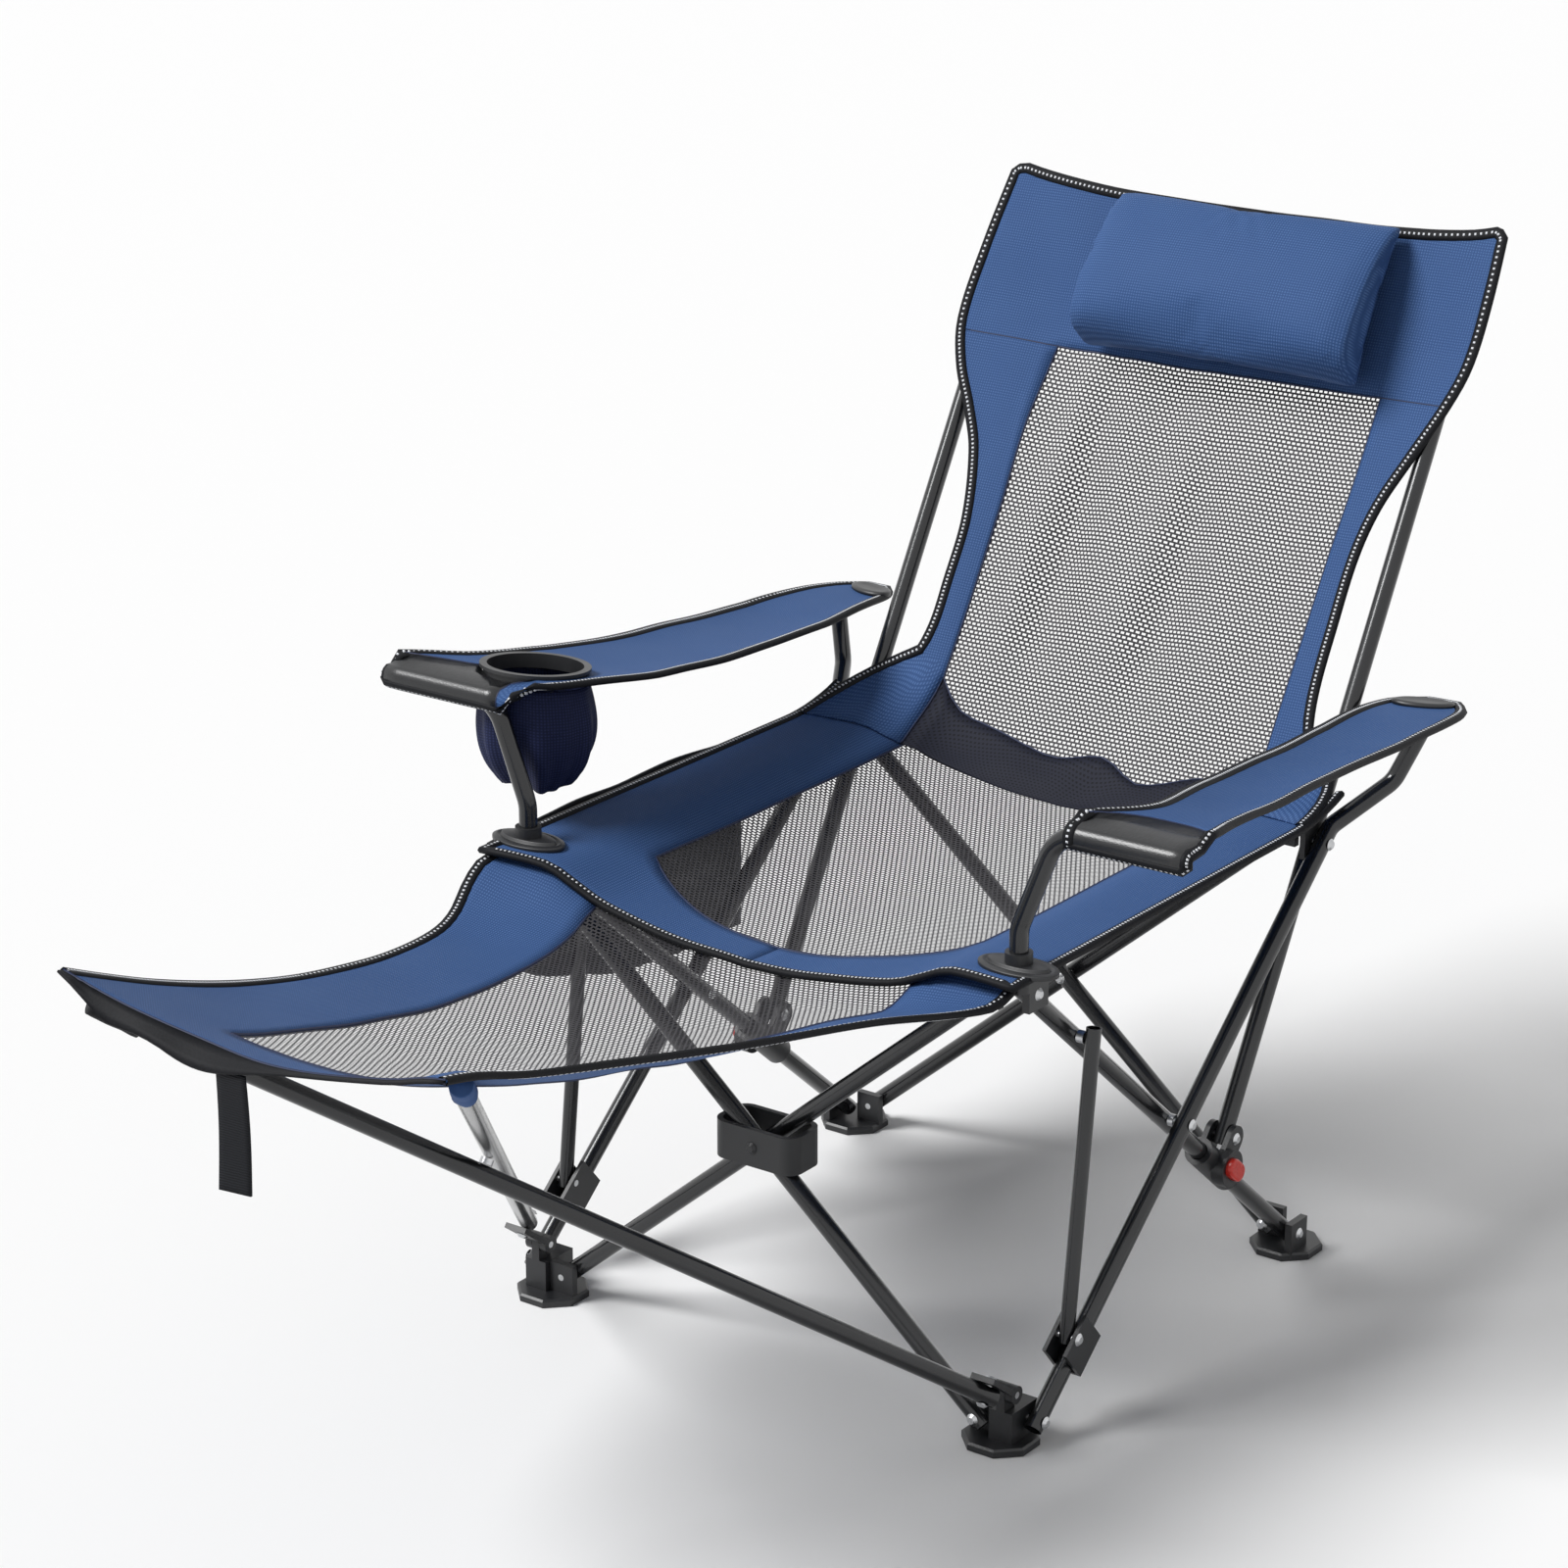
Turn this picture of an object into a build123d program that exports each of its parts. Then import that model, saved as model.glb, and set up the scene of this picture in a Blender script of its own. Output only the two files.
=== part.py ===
from build123d import *
import os
from math import asin, atan2, cos, degrees, hypot, radians, sin, tan

# Folding camp chair with a reclining back, a footrest sling and a cup holder.
# Millimetres, +Y to the back, +Z up. Left and right are as seen from the front: side -1 is left, at -X.
# Y counts from the plane of the front scissor while modelling, and the part is centred at the end.

# Four equal scissors: two at the sides, one in front and one behind.
# Sizes named OUT and IN count along X from the front brace's pivots, out from the chair or in.
RUN = 448.0
RISE = 380.0
FOOT_PIVOT_Z = 22.0
SIDE_SETBACK = 14.0
INNER_LAYER_OUT = 22.0
OUTER_LAYER_OUT = 44.0
BRACE_LAYER = 9.0
TUBE_OD = 16.0
TUBE_WALL = 1.2
TUBE_END = 9.0

# Rivets and clearances
RIVET_D = 6.0
RIVET_HEAD_D = 11.0
RIVET_HEAD_H = 2.4
RUNNING = 0.05
SIDE_GAP = 0.4
SEAT_GAP = 0.3

# Moulded feet
PAD_ACROSS = 62.0
PAD_H = 7.0
FRONT_PAD_OUT = 16.0
FRONT_PAD_Y = 2.0
REAR_PAD_OUT = 18.0
REAR_PAD_AHEAD = 3.0
CHEEK = 7.0
CHEEK_RISE = 13.0
LEG_CHEEK_DEPTH = 28.0

# Corner hubs under the seat
HUB_PLATE_H = 8.0
HUB_PLATE_IN = 16.0
HUB_CLEAR = 13.0
FRONT_HUB_OUT = 48.0
FRONT_HUB_Y0 = -24.0
FRONT_HUB_Y1 = 30.0
REAR_HUB_AHEAD = 30.0
REAR_HUB_BEHIND = 1.0
ARM_SOCKET_OD = 23.0
ARM_SOCKET_H = 20.0

# Front crossing collar
COLLAR_W = 86.0
COLLAR_D = 46.0
COLLAR_H = 34.0
COLLAR_WALL = 5.0
COLLAR_CORNER = 14.0

# Recline slider, its button and the back posts
SLIDER_AT = 177.0
SLIDER_L = 66.0
SLIDER_OD = 26.0
LUG_OFFSET = 27.0
LUG_EAR = 5.0
LUG_EAR_L = 24.0
LUG_SLOT_L = 8.4
LUG_SLOT_W = 6.4
BUTTON_L = 27.0
BUTTON_W = 17.0
BUTTON_H = 9.0
BUTTON_TRAVEL = 4.0
BUTTON_BOSS_D = 34.0
BUTTON_BOSS_H = 8.0
POST_TOP_BACK = 306.0
POST_TOP_RISE = 491.0
POST_END = 8.0

# Brace struts and the channels that slide on the front legs
STRUT_OD = 13.0
STRUT_TOP_AT = 491.5
CHANNEL_AT = 72.0
CHANNEL_OFFSET = 18.0
CHANNEL_L = 40.0
CHANNEL_WALL = 3.6
STRUT_END = 5.0

# Footrest scissor
FOOTREST_AXIS_Y = -4.0
FOOTREST_AXIS_Z = 50.0
FOOTREST_SLOPE = 37.0
FOOTREST_OUT = 24.0
FOOTREST_L = 831.0
FOOTREST_FAR_IN = 54.0
TONGUE_L = 44.0
TONGUE_W = 23.0
TONGUE_T = 5.0
TONGUE_PIVOT = 30.0
KNUCKLE_D = 16.0
EAR_T = 8.0

# Armrests, their posts and the cup holder
ARM_SLOPE = 6.3
ARM_FRONT_Y = -16.0
ARM_RISE = 139.0
ARM_T = 10.0
ARM_PAST_LEG = 44.6
ARM_FRONT_EDGES_OUT = (78.0, 196.0)
ARM_REAR_EDGES_OUT = (44.0, 128.0)
ARM_CORNER = 18.0
ARM_POST_OUT = 29.0
ARM_POST_Y = -4.0
ARM_POST_BEND_OUT = 64.0
ARM_POST_TOP_OUT = 178.0
ARM_POST_BEND_R = 34.0
LEG_KNEE_OUT = 75.0
LEG_KNEE_BACK = 69.0
LEG_KNEE_RISE = 45.0
LEG_TOP_OUT = 94.0
LEG_TOP_BACK = 86.0
LEG_BEND_R = 22.0
LEG_TRIM = 1.0
CUP_OUT = 66.0
CUP_AT = 70.0
CUP_BORE_R = 42.5
CUP_WALL = 3.0
CUP_FLANGE_R = 49.0
CUP_FLANGE_T = 3.0
CUP_RING_H = 13.0
POUCH_DEPTH = 96.0
POUCH_FOOT_R = 38.0
POUCH_WALL = 1.6

# Slung fabric
SLING_T = 5.0
SEAT_OUT = 16.0
SEAT_FLAT_IN = 20.0
SEAT_SAG = 43.0
SEAT_BOW_RATIO = 0.3
SEAT_FRONT_Y = -30.0
SEAT_PAST_LEG = 6.0
BACK_OVER = 4.0
BACK_L = 531.0
BACK_WAIST_DOWN = 353.0
BACK_SEAM_DOWN = 171.0
BACK_FOOT_IN = 10.0
BACK_WAIST_IN = 18.0
BACK_SEAM_OUT = 43.0
BACK_TOP_OUT = 38.0
BACK_BOW_RATIO = 0.38
BACK_T = 6.0
PILLOW_L = 304.0
PILLOW_H = 135.0
PILLOW_CROWN = 60.0
PILLOW_DOWN = 88.0
SHOULDER_RATIO = 0.72
SHOULDER_HEIGHT_RATIO = 0.94
SHOULDER_CROWN_RATIO = 0.84
END_HEIGHT_RATIO = 0.66
END_CROWN_RATIO = 0.3
FOOT_SLING_OVER = 32.4
FOOT_SLING_FAR_OUT = 16.0
FOOT_SLING_LIFT = 42.2
FOOT_SLING_FAR_SAG = 52.2
FOOT_SLING_SLACK = 46.0
FOOT_SLING_MID_SAG = 40.0
STRAP_W = 28.0
STRAP_T = 2.5
STRAP_L = 95.0

# Worked out from the sizes above
TUBE_R = TUBE_OD / 2
HALF_RUN = RUN / 2
TOP_PIVOT_Z = FOOT_PIVOT_Z + RISE
MID_Z = FOOT_PIVOT_Z + RISE / 2
SIDE_REAR_Y = SIDE_SETBACK + RUN
SIDE_MID_Y = SIDE_SETBACK + HALF_RUN
REAR_PLANE_Y = SIDE_REAR_Y + SIDE_SETBACK
LEAN = atan2(RISE, RUN)
INNER_LAYER_X = HALF_RUN + INNER_LAYER_OUT
OUTER_LAYER_X = HALF_RUN + OUTER_LAYER_OUT
BRACE_END_X = HALF_RUN + TUBE_END * cos(LEAN) + TUBE_R * sin(LEAN)
BRACE_WALL_X1 = BRACE_END_X + SIDE_GAP
BRACE_WALL_X0 = HALF_RUN - CHEEK_RISE
HUB_UNDER_Z = TOP_PIVOT_Z + HUB_CLEAR
HUB_TOP_Z = HUB_UNDER_Z + HUB_PLATE_H
HOLE_D = RIVET_D + 2 * RUNNING
FRONT_PAD_X = HALF_RUN + FRONT_PAD_OUT
REAR_PAD_X = HALF_RUN + REAR_PAD_OUT
REAR_PAD_Y = REAR_PLANE_Y - REAR_PAD_AHEAD
HUB_PLATE_X0 = HALF_RUN - HUB_PLATE_IN
FRONT_HUB_X1 = HALF_RUN + FRONT_HUB_OUT
REAR_HUB_Y0 = REAR_PLANE_Y - REAR_HUB_AHEAD
REAR_HUB_Y1 = REAR_PLANE_Y + REAR_HUB_BEHIND
POST_TOP_Y = SIDE_REAR_Y + POST_TOP_BACK
POST_TOP_Z = TOP_PIVOT_Z + POST_TOP_RISE
FOOTREST_X = HALF_RUN + FOOTREST_OUT
FOOTREST_FAR_X = HALF_RUN - FOOTREST_FAR_IN
FOOTREST_LEAN = radians(FOOTREST_SLOPE)
FOOTREST_LAYER = TONGUE_T / 2 + SEAT_GAP + TUBE_R
FOOTREST_HALF = asin((FOOTREST_X + FOOTREST_FAR_X) / FOOTREST_L)
FOOTREST_UP = TONGUE_PIVOT + FOOTREST_L * cos(FOOTREST_HALF)
ARM_LEAN = radians(ARM_SLOPE)
ARM_FRONT_Z = HUB_TOP_Z + ARM_RISE
ARM_POST_X = HALF_RUN + ARM_POST_OUT
ARM_POST_BEND_X = HALF_RUN + ARM_POST_BEND_OUT
ARM_POST_TOP_X = HALF_RUN + ARM_POST_TOP_OUT
LEG_KNEE = (HALF_RUN + LEG_KNEE_OUT, SIDE_REAR_Y + LEG_KNEE_BACK, TOP_PIVOT_Z + LEG_KNEE_RISE)
LEG_TOP_X = HALF_RUN + LEG_TOP_OUT
LEG_TOP_Y = SIDE_REAR_Y + LEG_TOP_BACK
ARM_L = (LEG_TOP_Y - ARM_FRONT_Y) / cos(ARM_LEAN) + ARM_PAST_LEG
CUP_X = HALF_RUN + CUP_OUT
SEAT_HALF_W = HALF_RUN + SEAT_OUT
SEAT_FLAT_X = HALF_RUN - SEAT_FLAT_IN
SEAT_MID_Z = HUB_TOP_Z - SEAT_SAG
SEAT_REAR_Y = SIDE_REAR_Y + SEAT_PAST_LEG
BACK_FOOT_W = HALF_RUN - BACK_FOOT_IN
BACK_WAIST_W = HALF_RUN - BACK_WAIST_IN
BACK_SEAM_W = HALF_RUN + BACK_SEAM_OUT
BACK_TOP_W = HALF_RUN + BACK_TOP_OUT
FOOT_SLING_FAR_Y = FOOTREST_AXIS_Y - FOOTREST_UP * cos(FOOTREST_LEAN) - FOOT_SLING_OVER
FOOT_SLING_FAR_Z = FOOTREST_AXIS_Z + FOOTREST_UP * sin(FOOTREST_LEAN) + FOOT_SLING_LIFT
FOOT_SLING_FAR_W = FOOTREST_FAR_X + FOOT_SLING_FAR_OUT
FOOT_SLING_FAR_MID_Z = FOOT_SLING_FAR_Z - FOOT_SLING_FAR_SAG
SIDES = {"left": -1, "right": 1}


def up_rear_leg(distance, offset=0.0):
    """Y and Z of a point on a rear leg, counted from its foot pivot, and offset above it."""
    y = SIDE_REAR_Y - distance * cos(LEAN) + offset * sin(LEAN)
    z = FOOT_PIVOT_Z + distance * sin(LEAN) + offset * cos(LEAN)
    return y, z


def up_front_leg(distance, offset=0.0):
    """Y and Z of a point on a front leg, counted from its foot pivot, and offset above it."""
    y = SIDE_SETBACK + distance * cos(LEAN) - offset * sin(LEAN)
    z = FOOT_PIVOT_Z + distance * sin(LEAN) + offset * cos(LEAN)
    return y, z


LUG_Y, LUG_Z = up_rear_leg(SLIDER_AT, LUG_OFFSET)
POST_LEAN = atan2(POST_TOP_Y - LUG_Y, POST_TOP_Z - LUG_Z)
POST_L = hypot(POST_TOP_Y - LUG_Y, POST_TOP_Z - LUG_Z)
BACK_TO = POST_L + BACK_OVER
BACK_FROM = BACK_TO - BACK_L
BACK_WAIST_AT = BACK_TO - BACK_WAIST_DOWN
BACK_SEAM_AT = BACK_TO - BACK_SEAM_DOWN
PILLOW_AT = BACK_TO - PILLOW_DOWN
CHANNEL_Y, CHANNEL_Z = up_front_leg(CHANNEL_AT, CHANNEL_OFFSET)
STRUT_Y, STRUT_Z = up_rear_leg(STRUT_TOP_AT)


def rod(start, end, diameter):
    """A round bar between two points."""
    axis = Vector(*end) - Vector(*start)
    bar = Cylinder(diameter / 2, axis.length, align=(Align.CENTER, Align.CENTER, Align.MIN))
    return Plane(origin=start, z_dir=axis) * bar


def tube(start, end, diameter):
    """A straight tube between two points, open at both ends."""
    past = (Vector(*end) - Vector(*start)).normalized()
    bore_start = Vector(*start) - past
    bore_end = Vector(*end) + past
    bore = rod(tuple(bore_start), tuple(bore_end), diameter - 2 * TUBE_WALL)
    return rod(start, end, diameter) - bore


def bent_tube(points, bend_radius):
    """A tube along straight runs joined by equal bends."""
    path = FilletPolyline(*points, radius=bend_radius)
    ring = Circle(TUBE_R) - Circle(TUBE_R - TUBE_WALL)
    return sweep(Plane(origin=path @ 0, z_dir=path % 0) * ring, path=path)


def slab(x_pair, y_pair, z_pair):
    """A box between two corners, whichever way round they are given."""
    pairs = (x_pair, y_pair, z_pair)
    middle = [(a + b) / 2 for a, b in pairs]
    size = [abs(b - a) for a, b in pairs]
    return Pos(*middle) * Box(*size)


def hole_x(side, y, z):
    """A rivet hole along X, right through one side of the chair."""
    far = OUTER_LAYER_X + 2 * TUBE_OD
    return rod((side * HUB_PLATE_X0, y, z), (side * far, y, z), HOLE_D)


def hole_y(x, y, z):
    """A rivet hole along Y, through a brace and the cheek beside it."""
    reach = TUBE_OD + 2 * CHEEK
    return rod((x, y - reach, z), (x, y + reach, z), HOLE_D)


def rivet(start, end, heads=(True, True)):
    """A rivet whose heads, where it has them, stand outside its two ends."""
    way = (Vector(*end) - Vector(*start)).normalized()
    made = rod(start, end, RIVET_D)
    dome = Cone(RIVET_HEAD_D / 2, RIVET_D / 2, RIVET_HEAD_H, align=(Align.CENTER, Align.CENTER, Align.MIN))
    if heads[0]:
        made += Plane(origin=start, z_dir=-way) * dome
    if heads[1]:
        made += Plane(origin=end, z_dir=way) * dome
    return made


def washer_x(side, x_pair, y, z, diameter):
    """A spacer along X around a rivet that it is one piece with."""
    return rod((side * x_pair[0], y, z), (side * x_pair[1], y, z), diameter)


def brace_y(side, plane_y, end):
    """The layer of the brace that ends at this side's foot (end 0) or hub (end 1)."""
    return plane_y - side * BRACE_LAYER if end == 0 else plane_y + side * BRACE_LAYER


def brace_wall(side, plane_y, end, z_pair):
    """The upright cheek that a brace is riveted to, on the middle side of its layer."""
    y = brace_y(side, plane_y, end)
    way = side if end == 0 else -side
    near = y + way * (TUBE_R + SIDE_GAP)
    return slab((side * BRACE_WALL_X0, side * BRACE_WALL_X1), (near, near + way * CHEEK), z_pair)


def brace_rivet(side, plane_y, end, z):
    """The rivet through a brace end and its cheek, with its head on the brace."""
    y = brace_y(side, plane_y, end)
    way = side if end == 0 else -side
    start = (side * HALF_RUN, y - way * (TUBE_R + SIDE_GAP), z)
    stop = (side * HALF_RUN, y + way * (TUBE_R + SIDE_GAP + CHEEK), z)
    return rivet(start, stop, heads=(True, False))


def foot_pad(side, x, y):
    """The eight-sided base of a foot, standing on the floor."""
    outline = RegularPolygon(PAD_ACROSS / 2, 8, major_radius=False, rotation=22.5)
    pad = extrude(outline, PAD_H)
    return Pos(side * x, y, 0) * chamfer(pad.edges().group_by(Axis.Z)[-1], PAD_H / 4)


def front_foot(side):
    """Front foot: brace cheek, leg block and the ear that the footrest elbow turns on."""
    top = FOOT_PIVOT_Z + CHEEK_RISE
    block_x = (side * (BRACE_WALL_X1 + SIDE_GAP), side * (OUTER_LAYER_X - TUBE_R - SIDE_GAP))
    foot = foot_pad(side, FRONT_PAD_X, FRONT_PAD_Y)
    foot += brace_wall(side, 0, 0, (0, top))
    front = FOOTREST_AXIS_Y - KNUCKLE_D / 2
    foot += slab(block_x, (front, SIDE_SETBACK + CHEEK_RISE), (0, top))
    ear_x = [side * (FOOTREST_X + shift) for shift in (-EAR_T / 2, EAR_T / 2)]
    foot += slab(ear_x, (front, front + KNUCKLE_D), (top, FOOTREST_AXIS_Z))
    ear_ends = [(x, FOOTREST_AXIS_Y, FOOTREST_AXIS_Z) for x in ear_x]
    foot += rod(*ear_ends, KNUCKLE_D)
    foot -= hole_x(side, SIDE_SETBACK, FOOT_PIVOT_Z)
    foot -= hole_x(side, FOOTREST_AXIS_Y, FOOTREST_AXIS_Z)
    return foot - hole_y(side * HALF_RUN, 0, FOOT_PIVOT_Z)


def rear_foot(side):
    """Rear foot: brace cheek and an outer cheek for the rear leg."""
    top = FOOT_PIVOT_Z + CHEEK_RISE
    near = INNER_LAYER_X + TUBE_R + SIDE_GAP
    cheek_y = (SIDE_REAR_Y - LEG_CHEEK_DEPTH / 2, SIDE_REAR_Y + LEG_CHEEK_DEPTH / 2)
    foot = foot_pad(side, REAR_PAD_X, REAR_PAD_Y)
    foot += brace_wall(side, REAR_PLANE_Y, 0, (0, top))
    foot += slab((side * near, side * (near + CHEEK)), cheek_y, (0, top))
    foot -= hole_x(side, SIDE_REAR_Y, FOOT_PIVOT_Z)
    return foot - hole_y(side * HALF_RUN, REAR_PLANE_Y, FOOT_PIVOT_Z)


def front_foot_rivets(side):
    """Leg rivet, brace rivet and the footrest's hinge pin."""
    leg_in = side * (OUTER_LAYER_X - TUBE_OD - CHEEK)
    leg_out = side * (OUTER_LAYER_X + TUBE_R + SIDE_GAP)
    leg = rivet((leg_in, SIDE_SETBACK, FOOT_PIVOT_Z), (leg_out, SIDE_SETBACK, FOOT_PIVOT_Z), (False, True))
    pin_x = [side * (FOOTREST_X + shift) for shift in (-TONGUE_W / 2, TONGUE_W / 2)]
    pin = rod(*[(x, FOOTREST_AXIS_Y, FOOTREST_AXIS_Z) for x in pin_x], RIVET_D)
    return Compound(children=[leg, brace_rivet(side, 0, 0, FOOT_PIVOT_Z), pin])


def inner_leg_rivet(side, y, z):
    """The rivet through the end of a rear leg and the cheek outside it."""
    start = INNER_LAYER_X - TUBE_R + TUBE_WALL
    stop = INNER_LAYER_X + TUBE_R + SIDE_GAP + CHEEK
    return rivet((side * start, y, z), (side * stop, y, z), (False, True))


def rear_foot_rivets(side):
    leg = inner_leg_rivet(side, SIDE_REAR_Y, FOOT_PIVOT_Z)
    return Compound(children=[leg, brace_rivet(side, REAR_PLANE_Y, 0, FOOT_PIVOT_Z)])


def brace(side, plane_y):
    """A scissor brace from this side's foot to the other side's hub."""
    y = brace_y(side, plane_y, 0)
    over_x = TUBE_END * cos(LEAN)
    over_z = TUBE_END * sin(LEAN)
    start = (side * (HALF_RUN + over_x), y, FOOT_PIVOT_Z - over_z)
    end = (-side * (HALF_RUN + over_x), y, TOP_PIVOT_Z + over_z)
    made = tube(start, end, TUBE_OD)
    for x, z in ((side * HALF_RUN, FOOT_PIVOT_Z), (0, MID_Z), (-side * HALF_RUN, TOP_PIVOT_Z)):
        made -= hole_y(x, y, z)
    return made


def collar():
    """The moulded band round the front crossing, with its rivet through both braces."""
    outer = RectangleRounded(COLLAR_W, COLLAR_D, COLLAR_CORNER)
    inner = offset(outer, -COLLAR_WALL)
    band = Pos(0, 0, MID_Z - COLLAR_H / 2) * extrude(outer - inner, COLLAR_H)
    band -= rod((0, -COLLAR_D, MID_Z), (0, COLLAR_D, MID_Z), HOLE_D)
    reach = COLLAR_D / 2 + SIDE_GAP
    return Compound(children=[band, crossing_rivet_y(-reach, reach)])


def crossing_rivet_y(y_front, y_back):
    """A rivet along Y through a crossing of two braces."""
    return rivet((0, y_front, MID_Z), (0, y_back, MID_Z))


def front_hub(side):
    """Front corner hub: brace cheek, leg cheek, top plate and the arm post's socket."""
    low = TOP_PIVOT_Z - CHEEK_RISE
    near = INNER_LAYER_X + TUBE_R + SIDE_GAP
    plate_x = (side * HUB_PLATE_X0, side * FRONT_HUB_X1)
    hub = slab(plate_x, (FRONT_HUB_Y0, FRONT_HUB_Y1), (HUB_UNDER_Z, HUB_TOP_Z))
    hub = fillet(hub.edges().filter_by(Axis.Z), CHEEK)
    hub += brace_wall(side, 0, 1, (low, HUB_UNDER_Z))
    cheek_y = (SIDE_SETBACK - LEG_CHEEK_DEPTH / 2, SIDE_SETBACK + LEG_CHEEK_DEPTH / 2)
    hub += slab((side * near, side * (near + CHEEK)), cheek_y, (low, HUB_UNDER_Z))
    foot = (side * ARM_POST_X, ARM_POST_Y, HUB_TOP_Z)
    socket_top = (side * ARM_POST_X, ARM_POST_Y, HUB_TOP_Z + ARM_SOCKET_H)
    hub += rod(foot, socket_top, ARM_SOCKET_OD)
    hub -= rod(foot, socket_top, TUBE_OD + 2 * RUNNING)
    hub -= hole_x(side, SIDE_SETBACK, TOP_PIVOT_Z)
    return hub - hole_y(side * HALF_RUN, 0, TOP_PIVOT_Z)


def front_hub_rivets(side):
    leg = inner_leg_rivet(side, SIDE_SETBACK, TOP_PIVOT_Z)
    return Compound(children=[leg, brace_rivet(side, 0, 1, TOP_PIVOT_Z)])


def rear_hub(side):
    """Rear corner hub: a cheek inside the front leg, a brace cheek, and open behind for the back post."""
    low = TOP_PIVOT_Z - CHEEK_RISE
    near = INNER_LAYER_X + TUBE_R + SIDE_GAP
    far = OUTER_LAYER_X - TUBE_R - SIDE_GAP
    hub = slab((side * HUB_PLATE_X0, side * far), (REAR_HUB_Y0, REAR_HUB_Y1), (HUB_UNDER_Z, HUB_TOP_Z))
    hub += brace_wall(side, REAR_PLANE_Y, 1, (low, HUB_TOP_Z))
    hub += slab((side * near, side * far), (REAR_HUB_Y0, REAR_HUB_Y1), (low, HUB_UNDER_Z))
    hub -= hole_x(side, SIDE_REAR_Y, TOP_PIVOT_Z)
    return hub - hole_y(side * HALF_RUN, REAR_PLANE_Y, TOP_PIVOT_Z)


def rear_hub_rivets(side):
    near = INNER_LAYER_X + TUBE_R + SIDE_GAP
    far = OUTER_LAYER_X + TUBE_R + SIDE_GAP
    ends = [(side * x, SIDE_REAR_Y, TOP_PIVOT_Z) for x in (near, far)]
    return Compound(children=[rivet(*ends, (False, True)), brace_rivet(side, REAR_PLANE_Y, 1, TOP_PIVOT_Z)])


def arm_under_z(y):
    """Height of an armrest's underside."""
    return ARM_FRONT_Z - (y - ARM_FRONT_Y) * tan(ARM_LEAN)


def front_leg(side):
    """Leg from the front foot past the rear hub, then out and up to the armrest's rear end."""
    x = side * OUTER_LAYER_X
    leg_l = hypot(RUN, RISE)
    start = (x, *up_front_leg(-TUBE_END))
    turn = (x, *up_front_leg(leg_l + 2 * TUBE_END))
    knee = (side * LEG_KNEE[0], LEG_KNEE[1], LEG_KNEE[2])
    top = (side * LEG_TOP_X, LEG_TOP_Y, arm_under_z(LEG_TOP_Y) - SEAT_GAP - TUBE_R * tan(ARM_LEAN))
    leg = bent_tube((start, turn, knee, top), LEG_BEND_R)
    trim_x = (top[0] - 2 * TUBE_OD, top[0] + 2 * TUBE_OD)
    trim_y = (top[1] - 2 * TUBE_OD, top[1] + 2 * TUBE_OD)
    leg -= slab(trim_x, trim_y, (top[2] - LEG_TRIM, top[2] + TUBE_OD))
    for y, z in ((SIDE_SETBACK, FOOT_PIVOT_Z), (SIDE_MID_Y, MID_Z), (SIDE_REAR_Y, TOP_PIVOT_Z)):
        leg -= hole_x(side, y, z)
    return leg


def rear_leg(side):
    """Leg from the rear foot to the front hub."""
    x = side * INNER_LAYER_X
    leg = tube((x, *up_rear_leg(-TUBE_END)), (x, *up_rear_leg(hypot(RUN, RISE) + TUBE_END)), TUBE_OD)
    for y, z in ((SIDE_SETBACK, TOP_PIVOT_Z), (SIDE_MID_Y, MID_Z), (SIDE_REAR_Y, FOOT_PIVOT_Z)):
        leg -= hole_x(side, y, z)
    return leg - hole_x(side, STRUT_Y, STRUT_Z)


def leg_rivets(side):
    """The rear leg's two rivets: at the crossing, and the boss for the strut."""
    return Compound(children=[leg_crossing_rivet(side), strut_boss(side)])


def leg_crossing_rivet(side):
    """Rivet and spacer where the two legs of one side cross."""
    inner = INNER_LAYER_X - TUBE_R - SIDE_GAP
    outer = OUTER_LAYER_X + TUBE_R + SIDE_GAP
    spacer = (INNER_LAYER_X + TUBE_R + SIDE_GAP, OUTER_LAYER_X - TUBE_R - SIDE_GAP)
    made = rivet((side * inner, SIDE_MID_Y, MID_Z), (side * outer, SIDE_MID_Y, MID_Z))
    return made + washer_x(side, spacer, SIDE_MID_Y, MID_Z, RIVET_HEAD_D)


def strut_boss(side):
    """Rivet through the rear leg with a boss that the strut's flattened top bears on."""
    start = INNER_LAYER_X - TUBE_R + TUBE_WALL
    stop = OUTER_LAYER_X - STRUT_OD / 2 - SIDE_GAP
    made = rod((side * start, STRUT_Y, STRUT_Z), (side * stop, STRUT_Y, STRUT_Z), RIVET_D)
    bearing = (INNER_LAYER_X + TUBE_R + SIDE_GAP, stop)
    return made + washer_x(side, bearing, STRUT_Y, STRUT_Z, RIVET_HEAD_D)


def slider(side):
    """Recline slider: a sleeve on the rear leg with two lugs for the post and a boss for the button."""
    x = side * INNER_LAYER_X
    low = (x, *up_rear_leg(SLIDER_AT - SLIDER_L / 2))
    high = (x, *up_rear_leg(SLIDER_AT + SLIDER_L / 2))
    made = rod(low, high, SLIDER_OD)
    boss_x = INNER_LAYER_X + SLIDER_OD / 2 + BUTTON_BOSS_H
    at_y, at_z = up_rear_leg(SLIDER_AT)
    made += rod((x + side * (TUBE_R + SIDE_GAP), at_y, at_z), (side * boss_x, at_y, at_z), BUTTON_BOSS_D)
    for ear_side in (-1, 1):
        made += slider_ear(side, ear_side)
    bore_ends = [(x, *up_rear_leg(SLIDER_AT + reach)) for reach in (-SLIDER_L, SLIDER_L)]
    made -= rod(*bore_ends, TUBE_OD + 2 * SIDE_GAP)
    made -= button_solid(side, SIDE_GAP, boss_x - BUTTON_TRAVEL - BUTTON_H / 3, boss_x + BUTTON_H)
    return made - lug_slot(side)


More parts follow.
